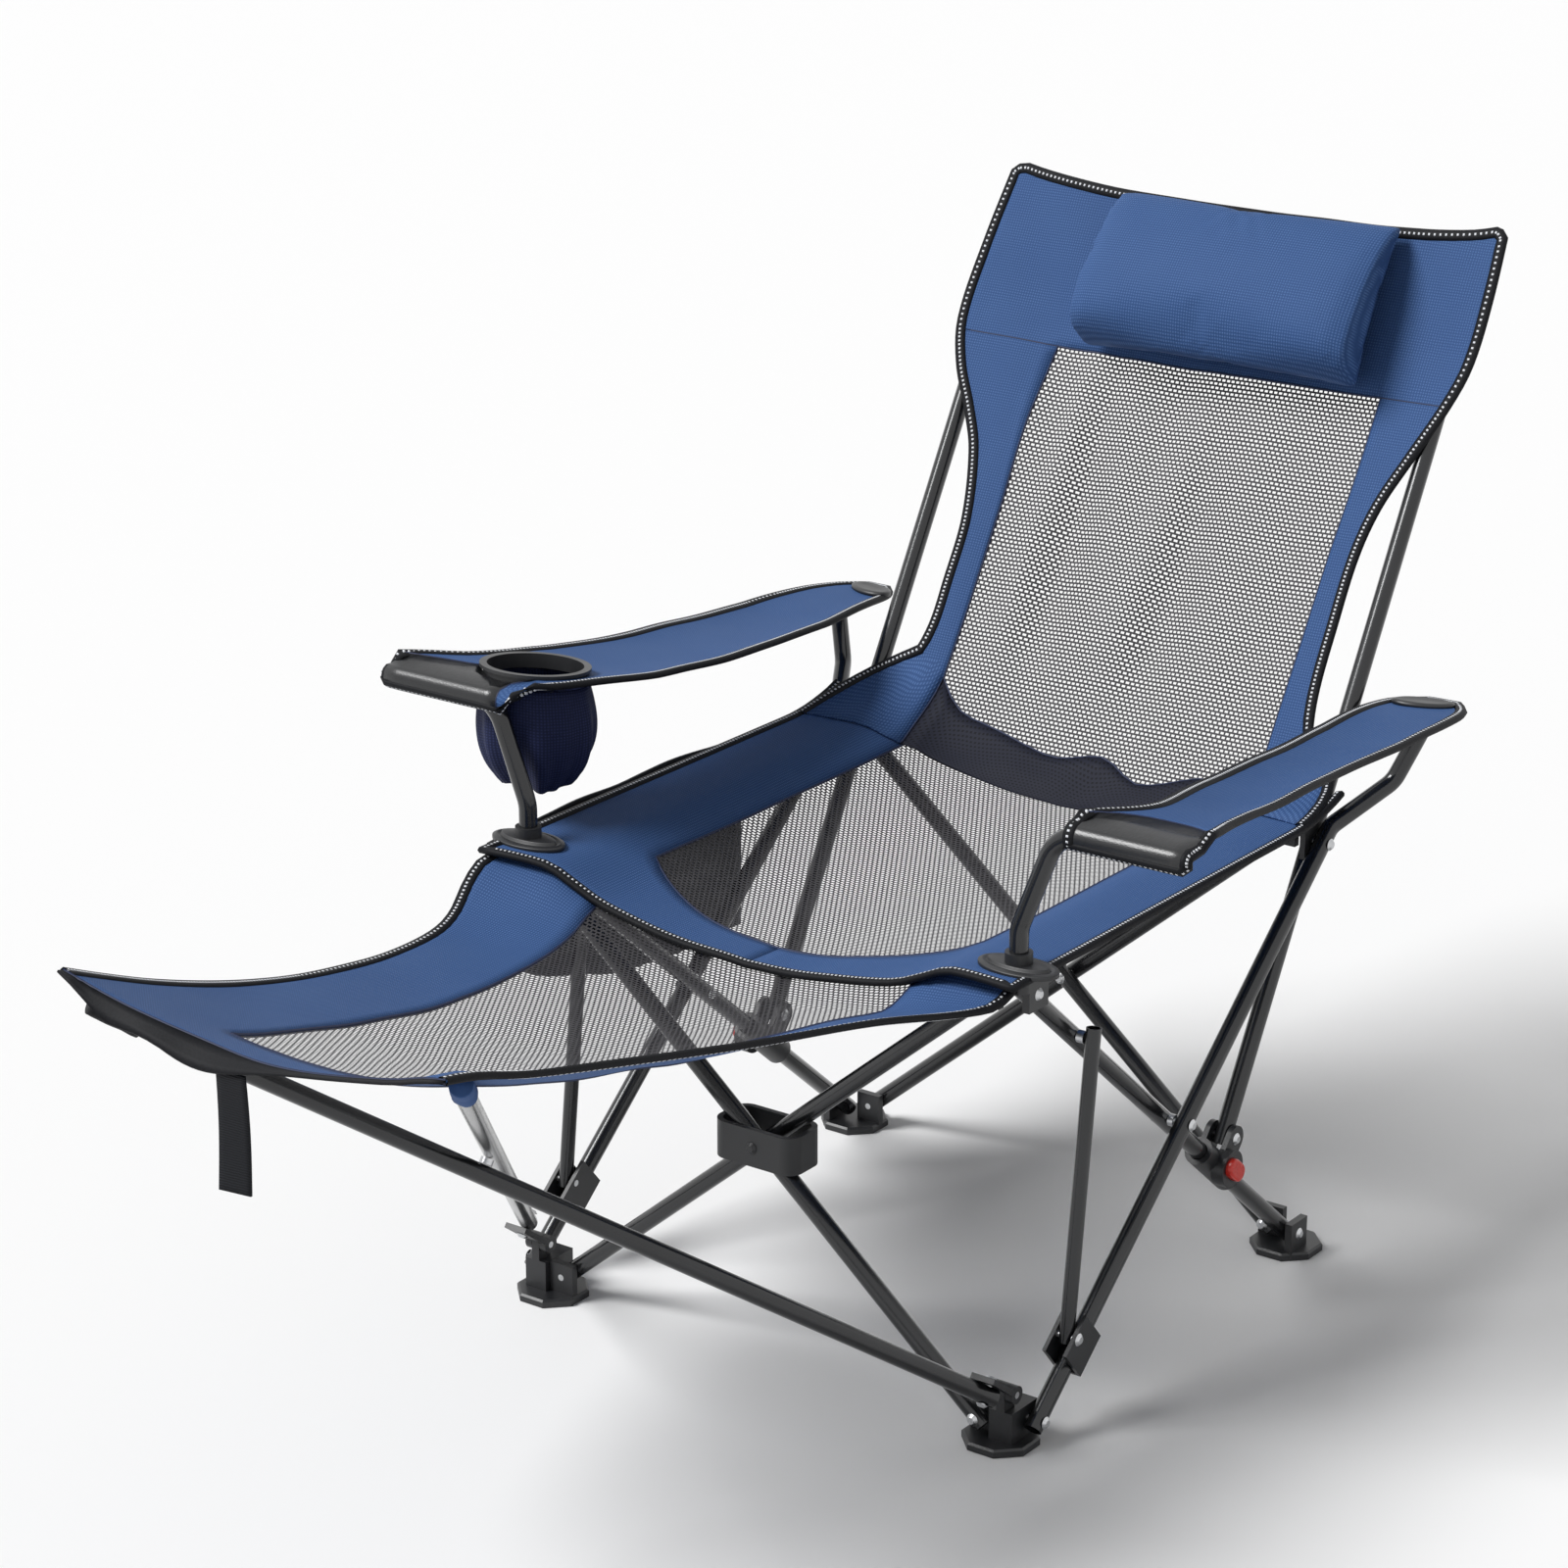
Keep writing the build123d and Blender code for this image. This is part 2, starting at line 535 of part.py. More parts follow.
def lug_slot(side):
    """Short slot through both lugs, square to the leg, that lets the pin rise a little as the post leans."""
    ways = {"x_dir": (0, sin(LEAN), cos(LEAN)), "z_dir": (side, 0, 0)}
    plane = Plane(origin=(side * (INNER_LAYER_X - TUBE_OD), LUG_Y, LUG_Z), **ways)
    return plane * extrude(SlotOverall(LUG_SLOT_L, LUG_SLOT_W), 2 * TUBE_OD)


def slider_ear(side, ear_side):
    """One lug of a slider, beside the foot of the back post."""
    near = INNER_LAYER_X + ear_side * (TUBE_R + SIDE_GAP)
    far = near + ear_side * LUG_EAR
    ear = rod((side * near, LUG_Y, LUG_Z), (side * far, LUG_Y, LUG_Z), LUG_EAR_L)
    base_y, base_z = up_rear_leg(SLIDER_AT, LUG_OFFSET / 2)
    web = Box(LUG_EAR, LUG_EAR_L, LUG_OFFSET)
    place = Pos(side * (near + far) / 2, base_y, base_z) * Rot(X=-degrees(LEAN))
    return ear + place * web


def button_solid(side, clearance, x_low, x_high):
    """An oval push button along X, or with a clearance the pocket that it moves in."""
    at_y, at_z = up_rear_leg(SLIDER_AT)
    outline = SlotOverall(BUTTON_L + 2 * clearance, BUTTON_W + 2 * clearance)
    along = (0, -cos(LEAN), sin(LEAN))
    plane = Plane(origin=(side * x_low, at_y, at_z), x_dir=along, z_dir=(side, 0, 0))
    return plane * extrude(outline, x_high - x_low)


def button(side):
    """Red push button that frees the slider's latch."""
    boss_x = INNER_LAYER_X + SLIDER_OD / 2 + BUTTON_BOSS_H
    made = button_solid(side, 0, boss_x - BUTTON_H / 3 + SEAT_GAP, boss_x + 2 * BUTTON_H / 3)
    outer = made.faces().sort_by(Axis.X)[-1 if side > 0 else 0]
    return fillet(outer.edges(), BUTTON_H / 4)


def lug_pin(side):
    """Pin through the slider's lugs and the foot of the back post."""
    reach = TUBE_R + SIDE_GAP + LUG_EAR
    ends = [(side * INNER_LAYER_X + shift, LUG_Y, LUG_Z) for shift in (-reach, reach)]
    return rivet(*ends, (True, True))


def on_post(distance, forward=0.0):
    """Y and Z of a point on a back post, counted from its pin, and forward of it."""
    y = LUG_Y + distance * sin(POST_LEAN) - forward * cos(POST_LEAN)
    z = LUG_Z + distance * cos(POST_LEAN) + forward * sin(POST_LEAN)
    return y, z


def back_post(side):
    x = side * INNER_LAYER_X
    return tube((x, *on_post(-POST_END)), (x, *on_post(POST_L)), TUBE_OD) - hole_x(side, LUG_Y, LUG_Z)


def channel(side):
    """Folded channel that slides on the front leg and holds the strut's foot between its cheeks."""
    half = TUBE_R + SIDE_GAP
    depth = CHANNEL_OFFSET + RIVET_D + half + CHANNEL_WALL
    low = -half - CHANNEL_WALL
    outer = Pos(0, low + depth / 2, 0) * Rectangle(2 * (half + CHANNEL_WALL), depth)
    inner = Pos(0, -half + depth, 0) * Rectangle(2 * half, 2 * depth)
    ways = {"x_dir": (1, 0, 0), "z_dir": (0, -cos(LEAN), -sin(LEAN))}
    plane = Plane(origin=(side * OUTER_LAYER_X, *up_front_leg(CHANNEL_AT + CHANNEL_L / 2)), **ways)
    return plane * extrude(outer - inner, CHANNEL_L) - hole_x(side, CHANNEL_Y, CHANNEL_Z)


def channel_pin(side):
    reach = TUBE_R + SIDE_GAP + CHANNEL_WALL
    ends = [(side * OUTER_LAYER_X + shift, CHANNEL_Y, CHANNEL_Z) for shift in (-reach, reach)]
    outer_head = (side < 0, side > 0)
    return rivet(*ends, outer_head)


def strut(side):
    """Slim brace from the sliding channel up to the boss on the rear leg."""
    x = side * OUTER_LAYER_X
    way = Vector(0, STRUT_Y - CHANNEL_Y, STRUT_Z - CHANNEL_Z).normalized() * STRUT_END
    start = (x, CHANNEL_Y - way.Y, CHANNEL_Z - way.Z)
    end = (x, STRUT_Y + way.Y * 2, STRUT_Z + way.Z * 2)
    return tube(start, end, STRUT_OD) - hole_x(side, CHANNEL_Y, CHANNEL_Z)


def footrest_plane():
    """Plane of the footrest scissor: local X across, local Y up its slope."""
    return Plane(
        origin=(0, FOOTREST_AXIS_Y, FOOTREST_AXIS_Z),
        x_dir=(1, 0, 0),
        z_dir=(0, -sin(FOOTREST_LEAN), -cos(FOOTREST_LEAN)),
    )


def in_footrest(x, distance, layer):
    """A point over the footrest plane: across, up its slope, and off it."""
    y = FOOTREST_AXIS_Y - distance * cos(FOOTREST_LEAN) + layer * sin(FOOTREST_LEAN)
    z = FOOTREST_AXIS_Z + distance * sin(FOOTREST_LEAN) + layer * cos(FOOTREST_LEAN)
    return x, y, z


def elbow(side):
    """Footrest elbow: a forked knuckle on the foot's ear and a tongue for the footrest tube."""
    x = side * FOOTREST_X
    half = TONGUE_W / 2
    ends = [in_footrest(x + shift, 0, 0) for shift in (-half, half)]
    made = rod(*ends, KNUCKLE_D)
    made += footrest_plane() * (Pos(x, TONGUE_L / 2, 0) * Box(TONGUE_W, TONGUE_L, TONGUE_T))
    slot = EAR_T + 2 * SIDE_GAP
    made -= footrest_plane() * (Pos(x, 0, 0) * Box(slot, KNUCKLE_D + 2 * SIDE_GAP, 2 * KNUCKLE_D))
    made -= rod(*[in_footrest(x + shift, 0, 0) for shift in (-TONGUE_W, TONGUE_W)], HOLE_D)
    return made - rod(in_footrest(x, TONGUE_PIVOT, -TUBE_OD), in_footrest(x, TONGUE_PIVOT, TUBE_OD), HOLE_D)


def footrest_layer(side):
    """The left tube lies over the tongues and the right one under them."""
    return -side * FOOTREST_LAYER


def elbow_rivet(side):
    """Rivet through the tongue and the foot of a footrest tube."""
    x = side * FOOTREST_X
    layer = footrest_layer(side)
    way = 1 if layer > 0 else -1
    start = in_footrest(x, TONGUE_PIVOT, -way * (TONGUE_T / 2 + SEAT_GAP))
    return rivet(start, in_footrest(x, TONGUE_PIVOT, layer + way * (TUBE_R + SEAT_GAP)))


def footrest_tube(side):
    """Footrest tube from this side's elbow across to the other far corner."""
    layer = footrest_layer(side)
    over = TUBE_END / FOOTREST_L
    reach = FOOTREST_X + FOOTREST_FAR_X
    start_up = TONGUE_PIVOT - over * (FOOTREST_UP - TONGUE_PIVOT)
    start = in_footrest(side * (FOOTREST_X + over * reach), start_up, layer)
    end = in_footrest(-side * FOOTREST_FAR_X, FOOTREST_UP, layer)
    x = side * FOOTREST_X
    hole_ends = [in_footrest(x, TONGUE_PIVOT, reach) for reach in (-2 * TUBE_OD, 2 * TUBE_OD)]
    return tube(start, end, TUBE_OD) - rod(*hole_ends, HOLE_D)


def footrest_rivets(side):
    """A footrest tube's rivets: through its elbow, and on the -X tube the crossing spacer too."""
    made = [elbow_rivet(side)]
    if side < 0:
        made.append(crossing_spacer())
    return Compound(children=made)


def crossing_spacer():
    """Spacer on the upper footrest tube at the crossing, bearing on the lower one."""
    across = FOOTREST_X / tan(FOOTREST_HALF)
    top = in_footrest(0, TONGUE_PIVOT + across, FOOTREST_LAYER - TUBE_R - SEAT_GAP)
    under = in_footrest(0, TONGUE_PIVOT + across, TUBE_R - FOOTREST_LAYER + SEAT_GAP)
    return rod(top, under, RIVET_HEAD_D)


def arm_plane():
    """Plane of the armrests' undersides: local X across and local Y down to the rear."""
    facing = (0, sin(ARM_LEAN), cos(ARM_LEAN))
    return Plane(origin=(0, ARM_FRONT_Y, ARM_FRONT_Z), x_dir=(1, 0, 0), z_dir=facing)


def armrest(side):
    """Padded webbing armrest, wider in front, with a hole for the cup ring on the -X side."""
    corners = [
        (side * (HALF_RUN + ARM_FRONT_EDGES_OUT[0]), 0),
        (side * (HALF_RUN + ARM_FRONT_EDGES_OUT[1]), 0),
        (side * (HALF_RUN + ARM_REAR_EDGES_OUT[1]), ARM_L),
        (side * (HALF_RUN + ARM_REAR_EDGES_OUT[0]), ARM_L),
    ]
    outline = make_face(Polyline(*corners, close=True))
    outline = fillet(outline.vertices(), ARM_CORNER)
    if side < 0:
        outline += Pos(side * CUP_X, CUP_AT) * Circle(CUP_FLANGE_R + CUP_FLANGE_T)
        outline -= Pos(side * CUP_X, CUP_AT) * Circle(CUP_BORE_R + CUP_WALL + SEAT_GAP)
    return arm_plane() * extrude(outline, ARM_T)


def arm_post(side):
    """Bent tube from the front hub's socket up and out under the armrest's front edge."""
    top_z = arm_under_z(ARM_POST_Y) - TUBE_R - 2 * SEAT_GAP
    foot = (side * ARM_POST_X, ARM_POST_Y, HUB_TOP_Z)
    rise = (side * ARM_POST_X, ARM_POST_Y, HUB_TOP_Z + 2 * ARM_SOCKET_H)
    bend = (side * ARM_POST_BEND_X, ARM_POST_Y, top_z)
    end = (side * ARM_POST_TOP_X, ARM_POST_Y, top_z)
    return bent_tube((foot, rise, bend, end), ARM_POST_BEND_R)


def cup_plane():
    return arm_plane() * Pos(-CUP_X, CUP_AT)


def cup_ring():
    """Moulded cup ring: a flange on the armrest and a sleeve through it."""
    flange = Pos(0, 0, ARM_T + SEAT_GAP) * extrude(Circle(CUP_FLANGE_R), CUP_FLANGE_T)
    sleeve_top = ARM_T + SEAT_GAP + CUP_FLANGE_T
    sleeve = Pos(0, 0, sleeve_top - CUP_RING_H) * extrude(Circle(CUP_BORE_R + CUP_WALL), CUP_RING_H)
    bore = Pos(0, 0, -CUP_RING_H) * extrude(Circle(CUP_BORE_R), 3 * CUP_RING_H)
    return cup_plane() * (flange + sleeve - bore)


def cup_pouch():
    """Tapered fabric pouch under the cup ring, closed at the bottom."""
    top_r = CUP_BORE_R + CUP_WALL + SEAT_GAP
    wall = [
        (top_r, -SEAT_GAP),
        (top_r + POUCH_WALL, -SEAT_GAP),
        (POUCH_FOOT_R + POUCH_WALL, -POUCH_DEPTH),
        (0, -POUCH_DEPTH),
        (0, -POUCH_DEPTH + POUCH_WALL),
        (POUCH_FOOT_R, -POUCH_DEPTH + POUCH_WALL),
    ]
    section = Plane.XZ * make_face(Polyline(*wall, close=True))
    return cup_plane() * revolve(section, Axis.Z)


def seat_half(side):
    """Half of the seat sling: flat on the hubs and sagging to the middle seam."""
    low = HUB_TOP_Z + SEAT_GAP
    seam_x = side * SEAT_GAP
    flat_x = side * SEAT_FLAT_X
    side_x = side * SEAT_HALF_W
    bow_x = side * SEAT_FLAT_X / 2
    bow_z = SEAT_MID_Z + (low - SEAT_MID_Z) * SEAT_BOW_RATIO
    edges = [
        Line((seam_x, SEAT_MID_Z), (seam_x, SEAT_MID_Z + SLING_T)),
        ThreePointArc((seam_x, SEAT_MID_Z + SLING_T), (bow_x, bow_z + SLING_T), (flat_x, low + SLING_T)),
        Polyline((flat_x, low + SLING_T), (side_x, low + SLING_T), (side_x, low), (flat_x, low)),
        ThreePointArc((flat_x, low), (bow_x, bow_z), (seam_x, SEAT_MID_Z)),
    ]
    section = Plane(origin=(0, SEAT_FRONT_Y, 0), x_dir=(1, 0, 0), z_dir=(0, -1, 0)) * make_face(edges)
    return extrude(section, SEAT_FRONT_Y - SEAT_REAR_Y)


def back_plane():
    """Plane of the back posts: local X across and local Y up the posts."""
    return Plane(origin=(0, LUG_Y, LUG_Z), x_dir=(1, 0, 0), z_dir=(0, -cos(POST_LEAN), sin(POST_LEAN)))


def back_sling():
    """Back sling in front of the posts, waisted and with a wider head panel."""
    bow_at = (BACK_WAIST_AT + BACK_SEAM_AT) / 2
    bow_w = BACK_WAIST_W + (BACK_SEAM_W - BACK_WAIST_W) * BACK_BOW_RATIO
    half = [
        Line((0, BACK_FROM), (BACK_FOOT_W, BACK_FROM)),
        Line((BACK_FOOT_W, BACK_FROM), (BACK_WAIST_W, BACK_WAIST_AT)),
        ThreePointArc((BACK_WAIST_W, BACK_WAIST_AT), (bow_w, bow_at), (BACK_SEAM_W, BACK_SEAM_AT)),
        Polyline((BACK_SEAM_W, BACK_SEAM_AT), (BACK_TOP_W, BACK_TO), (0, BACK_TO), (0, BACK_FROM)),
    ]
    face = make_face(half)
    outline = face + mirror(face, Plane.YZ)
    return back_plane() * Pos(0, 0, TUBE_R + SIDE_GAP) * extrude(outline, BACK_T)


def pillow():
    """Stuffed headrest: flat against the back, crowned in front and drawn in at its ends."""
    lie = TUBE_R + SIDE_GAP + BACK_T + SEAT_GAP
    end = (END_HEIGHT_RATIO, END_CROWN_RATIO)
    shoulder = (SHOULDER_HEIGHT_RATIO, SHOULDER_CROWN_RATIO)
    near = [(1, *end), (SHOULDER_RATIO, *shoulder)]
    far = [(-SHOULDER_RATIO, *shoulder), (-1, *end)]
    sections = []
    for along, height, crown in near + [(0, 1, 1)] + far:
        half = PILLOW_H / 2 * height
        front = PILLOW_CROWN * crown
        edges = [Line((-half, 0), (half, 0)), ThreePointArc((half, 0), (0, front), (-half, 0))]
        plane = Plane(origin=(along * PILLOW_L / 2, PILLOW_AT, lie), x_dir=(0, 1, 0), z_dir=(1, 0, 0))
        sections.append(plane * make_face(edges))
    return back_plane() * loft(sections)


def sagging_strip(half_w, edge_z, mid_z, y):
    """Upright section of a slung sheet that hangs between its two edges."""
    low = ThreePointArc((-half_w, edge_z), (0, mid_z), (half_w, edge_z))
    high = ThreePointArc((half_w, edge_z + SLING_T), (0, mid_z + SLING_T), (-half_w, edge_z + SLING_T))
    outline = make_face([low, Line(low @ 1, high @ 0), high, Line(high @ 1, low @ 0)])
    return Plane(origin=(0, y, 0), x_dir=(1, 0, 0), z_dir=(0, -1, 0)) * outline


def footrest_sling():
    """Footrest sling from the seat's front edge, slack in the middle, up to the footrest's far corners."""
    near_y = SEAT_FRONT_Y - SEAT_GAP
    near_z = HUB_TOP_Z + SEAT_GAP
    near = sagging_strip(SEAT_HALF_W, near_z, SEAT_MID_Z, near_y)
    slack_z = (near_z + FOOT_SLING_FAR_Z) / 2 - FOOT_SLING_SLACK
    slack_w = (SEAT_HALF_W + FOOT_SLING_FAR_W) / 2
    slack = sagging_strip(slack_w, slack_z, slack_z - FOOT_SLING_MID_SAG, (near_y + FOOT_SLING_FAR_Y) / 2)
    far = sagging_strip(FOOT_SLING_FAR_W, FOOT_SLING_FAR_Z, FOOT_SLING_FAR_MID_Z, FOOT_SLING_FAR_Y)
    return loft([near, slack, far], ruled=True)


def strap():
    """Webbing tail sewn under the middle of the footrest's far edge."""
    top = FOOT_SLING_FAR_MID_Z + SLING_T
    back = FOOT_SLING_FAR_Y - SEAT_GAP
    return slab((-STRAP_W / 2, STRAP_W / 2), (back - STRAP_T, back), (top - STRAP_L, top))


PARTS = {}
for name, side in SIDES.items():
    PARTS[f"front_foot_{name}"] = front_foot(side)
    PARTS[f"front_foot_rivets_{name}"] = front_foot_rivets(side)
    PARTS[f"rear_foot_{name}"] = rear_foot(side)
    PARTS[f"rear_foot_rivets_{name}"] = rear_foot_rivets(side)
    PARTS[f"front_brace_{name}"] = brace(side, 0)
    PARTS[f"rear_brace_{name}"] = brace(side, REAR_PLANE_Y)
    PARTS[f"front_hub_{name}"] = front_hub(side)
    PARTS[f"front_hub_rivets_{name}"] = front_hub_rivets(side)
    PARTS[f"rear_hub_{name}"] = rear_hub(side)
    PARTS[f"rear_hub_rivets_{name}"] = rear_hub_rivets(side)
    PARTS[f"front_leg_{name}"] = front_leg(side)
    PARTS[f"rear_leg_{name}"] = rear_leg(side)
    PARTS[f"leg_rivets_{name}"] = leg_rivets(side)
    PARTS[f"recline_slider_{name}"] = slider(side)
    PARTS[f"recline_button_{name}"] = button(side)
    PARTS[f"recline_pin_{name}"] = lug_pin(side)
    PARTS[f"back_post_{name}"] = back_post(side)
    PARTS[f"strut_channel_{name}"] = channel(side)
    PARTS[f"strut_pin_{name}"] = channel_pin(side)
    PARTS[f"strut_{name}"] = strut(side)
    PARTS[f"footrest_elbow_{name}"] = elbow(side)
    PARTS[f"footrest_rivets_{name}"] = footrest_rivets(side)
    PARTS[f"footrest_tube_{name}"] = footrest_tube(side)
    PARTS[f"arm_post_{name}"] = arm_post(side)
    PARTS[f"armrest_{name}"] = armrest(side)
    PARTS[f"seat_{name}"] = seat_half(side)

PARTS["front_collar"] = collar()
rear_reach = BRACE_LAYER + TUBE_R + SIDE_GAP
PARTS["rear_crossing_rivet"] = crossing_rivet_y(REAR_PLANE_Y - rear_reach, REAR_PLANE_Y + rear_reach)
PARTS["cup_ring"] = cup_ring()
PARTS["cup_pouch"] = cup_pouch()
PARTS["back_sling"] = back_sling()
PARTS["headrest_pillow"] = pillow()
PARTS["footrest_sling"] = footrest_sling()
PARTS["footrest_strap"] = strap()

boxes = [shape.bounding_box() for shape in PARTS.values()]
MIDDLE_Y = (min(box.min.Y for box in boxes) + max(box.max.Y for box in boxes)) / 2

if __name__ == "__main__":
    os.makedirs("parts", exist_ok=True)
    for name, shape in PARTS.items():
        export_step(Pos(0, -MIDDLE_Y, 0) * shape, f"parts/{name}.step")
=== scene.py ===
import math

import bmesh
import bpy
from mathutils import Matrix, Vector, noise


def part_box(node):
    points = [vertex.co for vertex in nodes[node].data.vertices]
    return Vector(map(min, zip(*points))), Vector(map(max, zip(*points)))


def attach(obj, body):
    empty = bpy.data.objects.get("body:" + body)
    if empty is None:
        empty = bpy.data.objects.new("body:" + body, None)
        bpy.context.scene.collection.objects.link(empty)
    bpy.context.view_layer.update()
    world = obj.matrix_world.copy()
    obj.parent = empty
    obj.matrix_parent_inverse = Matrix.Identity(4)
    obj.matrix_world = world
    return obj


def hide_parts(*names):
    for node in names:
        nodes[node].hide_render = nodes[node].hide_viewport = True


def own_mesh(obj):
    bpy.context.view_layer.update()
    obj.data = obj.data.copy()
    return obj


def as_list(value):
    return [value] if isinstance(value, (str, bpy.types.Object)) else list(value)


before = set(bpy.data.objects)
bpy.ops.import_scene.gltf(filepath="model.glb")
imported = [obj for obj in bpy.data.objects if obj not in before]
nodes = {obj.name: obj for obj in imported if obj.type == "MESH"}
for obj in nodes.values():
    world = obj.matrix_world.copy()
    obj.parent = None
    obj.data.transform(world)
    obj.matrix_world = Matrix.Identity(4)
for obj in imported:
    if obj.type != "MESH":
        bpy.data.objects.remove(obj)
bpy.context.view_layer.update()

# Legs, braces, back posts, arm posts, struts and footrest tubes: 16 mm and 13 mm steel tube, drilled
# for rivets. Powder coated in a dark gunmetal that lies like fine orange peel, so a long soft highlight
# runs down each tube.


def paint(code):
    """Linear colour from an sRGB hex code."""
    parts = [int(code[i:i + 2], 16) / 255 for i in (1, 3, 5)]
    return (*[p / 12.92 if p <= 0.04045 else ((p + 0.055) / 1.055) ** 2.4 for p in parts], 1.0)


def add(tree, kind, inputs=None, **settings):
    """One node with its settings, its inputs given as values or as sockets to link from."""
    node = tree.nodes.new(kind)
    for name, value in settings.items():
        setattr(node, name, value)
    for name, value in (inputs or {}).items():
        if isinstance(value, bpy.types.NodeSocket):
            tree.links.new(value, node.inputs[name])
        else:
            node.inputs[name].default_value = value
    return node


def begin(name, **values):
    """A new material with its shader's plain values set."""
    material = bpy.data.materials.new(name)
    material.use_nodes = True
    shader = material.node_tree.nodes["Principled BSDF"]
    for socket, value in values.items():
        shader.inputs[socket.replace("_", " ")].default_value = value
    return material, material.node_tree, shader


def coat(names, material):
    """Gives a finish to CAD nodes by the beginnings of their names."""
    for name, node in nodes.items():
        if name.startswith(names):
            node.data.materials.clear()
            node.data.materials.append(material)


powder_coat, tree, shader = begin("powder_coated_steel", Metallic=0.4, Roughness=0.25, Coat_Weight=0.5,
                                  Coat_Roughness=0.12)
spot = add(tree, "ShaderNodeTexCoord").outputs["Object"]
# Orange peel is about 1.5 mm across, and handling marks are about 60 mm apart
peel = add(tree, "ShaderNodeTexNoise", {"Vector": spot, "Scale": 650.0, "Detail": 2.0}).outputs["Fac"]
handled = add(tree, "ShaderNodeTexNoise", {"Vector": spot, "Scale": 16.0, "Detail": 5.0}).outputs["Fac"]
tint = add(tree, "ShaderNodeMix", {"Factor": handled, "A": paint("#151617"), "B": paint("#242528")},
           data_type="RGBA")
tree.links.new(tint.outputs["Result"], shader.inputs["Base Color"])
worn = add(tree, "ShaderNodeMapRange", {"Value": handled, "To Min": 0.16, "To Max": 0.3})
tree.links.new(worn.outputs["Result"], shader.inputs["Roughness"])
bump = add(tree, "ShaderNodeBump", {"Height": peel, "Strength": 0.12, "Distance": 0.0004})
tree.links.new(bump.outputs["Normal"], shader.inputs["Normal"])
coat(("front_leg", "rear_leg", "front_brace", "rear_brace", "back_post", "arm_post", "strut_left",
      "strut_right", "footrest_tube"), powder_coat)

# Feet, hubs, crossing collar, elbows, sliders, strut channels and cup ring: black nylon, each injection
# moulded in one piece. The mould leaves a fine spark grain that scatters the light, and the surface shines
# a little where it is handled.
moulded_nylon, tree, shader = begin("moulded_black_nylon", IOR=1.53, Roughness=0.45)
spot = add(tree, "ShaderNodeTexCoord").outputs["Object"]
# Grain of 0.8 mm is drawn at 1.2 mm so that it shows, over flow marks about 25 mm long
grain = add(tree, "ShaderNodeTexNoise", {"Vector": spot, "Scale": 820.0, "Detail": 3.0}).outputs["Fac"]
flow = add(tree, "ShaderNodeTexNoise", {"Vector": spot, "Scale": 40.0, "Detail": 4.0}).outputs["Fac"]
tint = add(tree, "ShaderNodeMix", {"Factor": flow, "A": paint("#131416"), "B": paint("#222326")},
           data_type="RGBA")
tree.links.new(tint.outputs["Result"], shader.inputs["Base Color"])
shine = add(tree, "ShaderNodeMapRange", {"Value": flow, "To Min": 0.34, "To Max": 0.52})
tree.links.new(shine.outputs["Result"], shader.inputs["Roughness"])
bump = add(tree, "ShaderNodeBump", {"Height": grain, "Strength": 0.2, "Distance": 0.0003})
tree.links.new(bump.outputs["Normal"], shader.inputs["Normal"])
coat(("front_foot", "rear_foot", "front_hub", "rear_hub", "front_collar", "footrest_elbow", "recline_slider",
      "strut_channel", "cup_ring"), moulded_nylon)

# Rivets and pins: zinc-plated steel, set cold through the tubes and the nylon pieces.
# The plating leaves the heads bright, with fine crystals that break up the reflection.
zinc_plate, tree, shader = begin("zinc_plated_steel", Metallic=1.0, Roughness=0.3)
spot = add(tree, "ShaderNodeTexCoord").outputs["Object"]
# Plating crystals about 3 mm across
crystals = add(tree, "ShaderNodeTexNoise", {"Vector": spot, "Scale": 330.0, "Detail": 4.0}).outputs["Fac"]
tint = add(tree, "ShaderNodeMix", {"Factor": crystals, "A": paint("#A9ABAE"), "B": paint("#DADBDC")},
           data_type="RGBA")
tree.links.new(tint.outputs["Result"], shader.inputs["Base Color"])
shine = add(tree, "ShaderNodeMapRange", {"Value": crystals, "To Min": 0.2, "To Max": 0.42})
tree.links.new(shine.outputs["Result"], shader.inputs["Roughness"])
coat(("front_foot_rivets", "rear_foot_rivets", "front_hub_rivets", "rear_hub_rivets", "leg_rivets",
      "recline_pin", "strut_pin", "footrest_rivets", "rear_crossing_rivet"), zinc_plate)

# Recline buttons: red ABS, moulded glossy, set in the boss of each slider over a spring.
# Thumbs dull the gloss in patches.
red_abs, tree, shader = begin("moulded_red_abs", IOR=1.54, Roughness=0.28)
spot = add(tree, "ShaderNodeTexCoord").outputs["Object"]
# Thumb wear in patches about 12 mm across
thumbed = add(tree, "ShaderNodeTexNoise", {"Vector": spot, "Scale": 85.0, "Detail": 3.0}).outputs["Fac"]
tint = add(tree, "ShaderNodeMix", {"Factor": thumbed, "A": paint("#C9241A"), "B": paint("#E2382B")},
           data_type="RGBA")
tree.links.new(tint.outputs["Result"], shader.inputs["Base Color"])
shine = add(tree, "ShaderNodeMapRange", {"Value": thumbed, "To Min": 0.2, "To Max": 0.36})
tree.links.new(shine.outputs["Result"], shader.inputs["Roughness"])
coat("recline_button", red_abs)

# Footrest sling: polyester mesh between two blue oxford side panels and a far band, bound in black tape.
# It hangs under the seat's front edge, and its far corners are held on the ends of the footrest tubes.
collar_low, collar_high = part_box("front_collar")
# The plane of the front scissor, from which the lengths below count
FRONT_Y = (collar_low.y + collar_high.y) / 2


def clip(value):
    """A value held between 0 and 1."""
    return min(max(value, 0.0), 1.0)


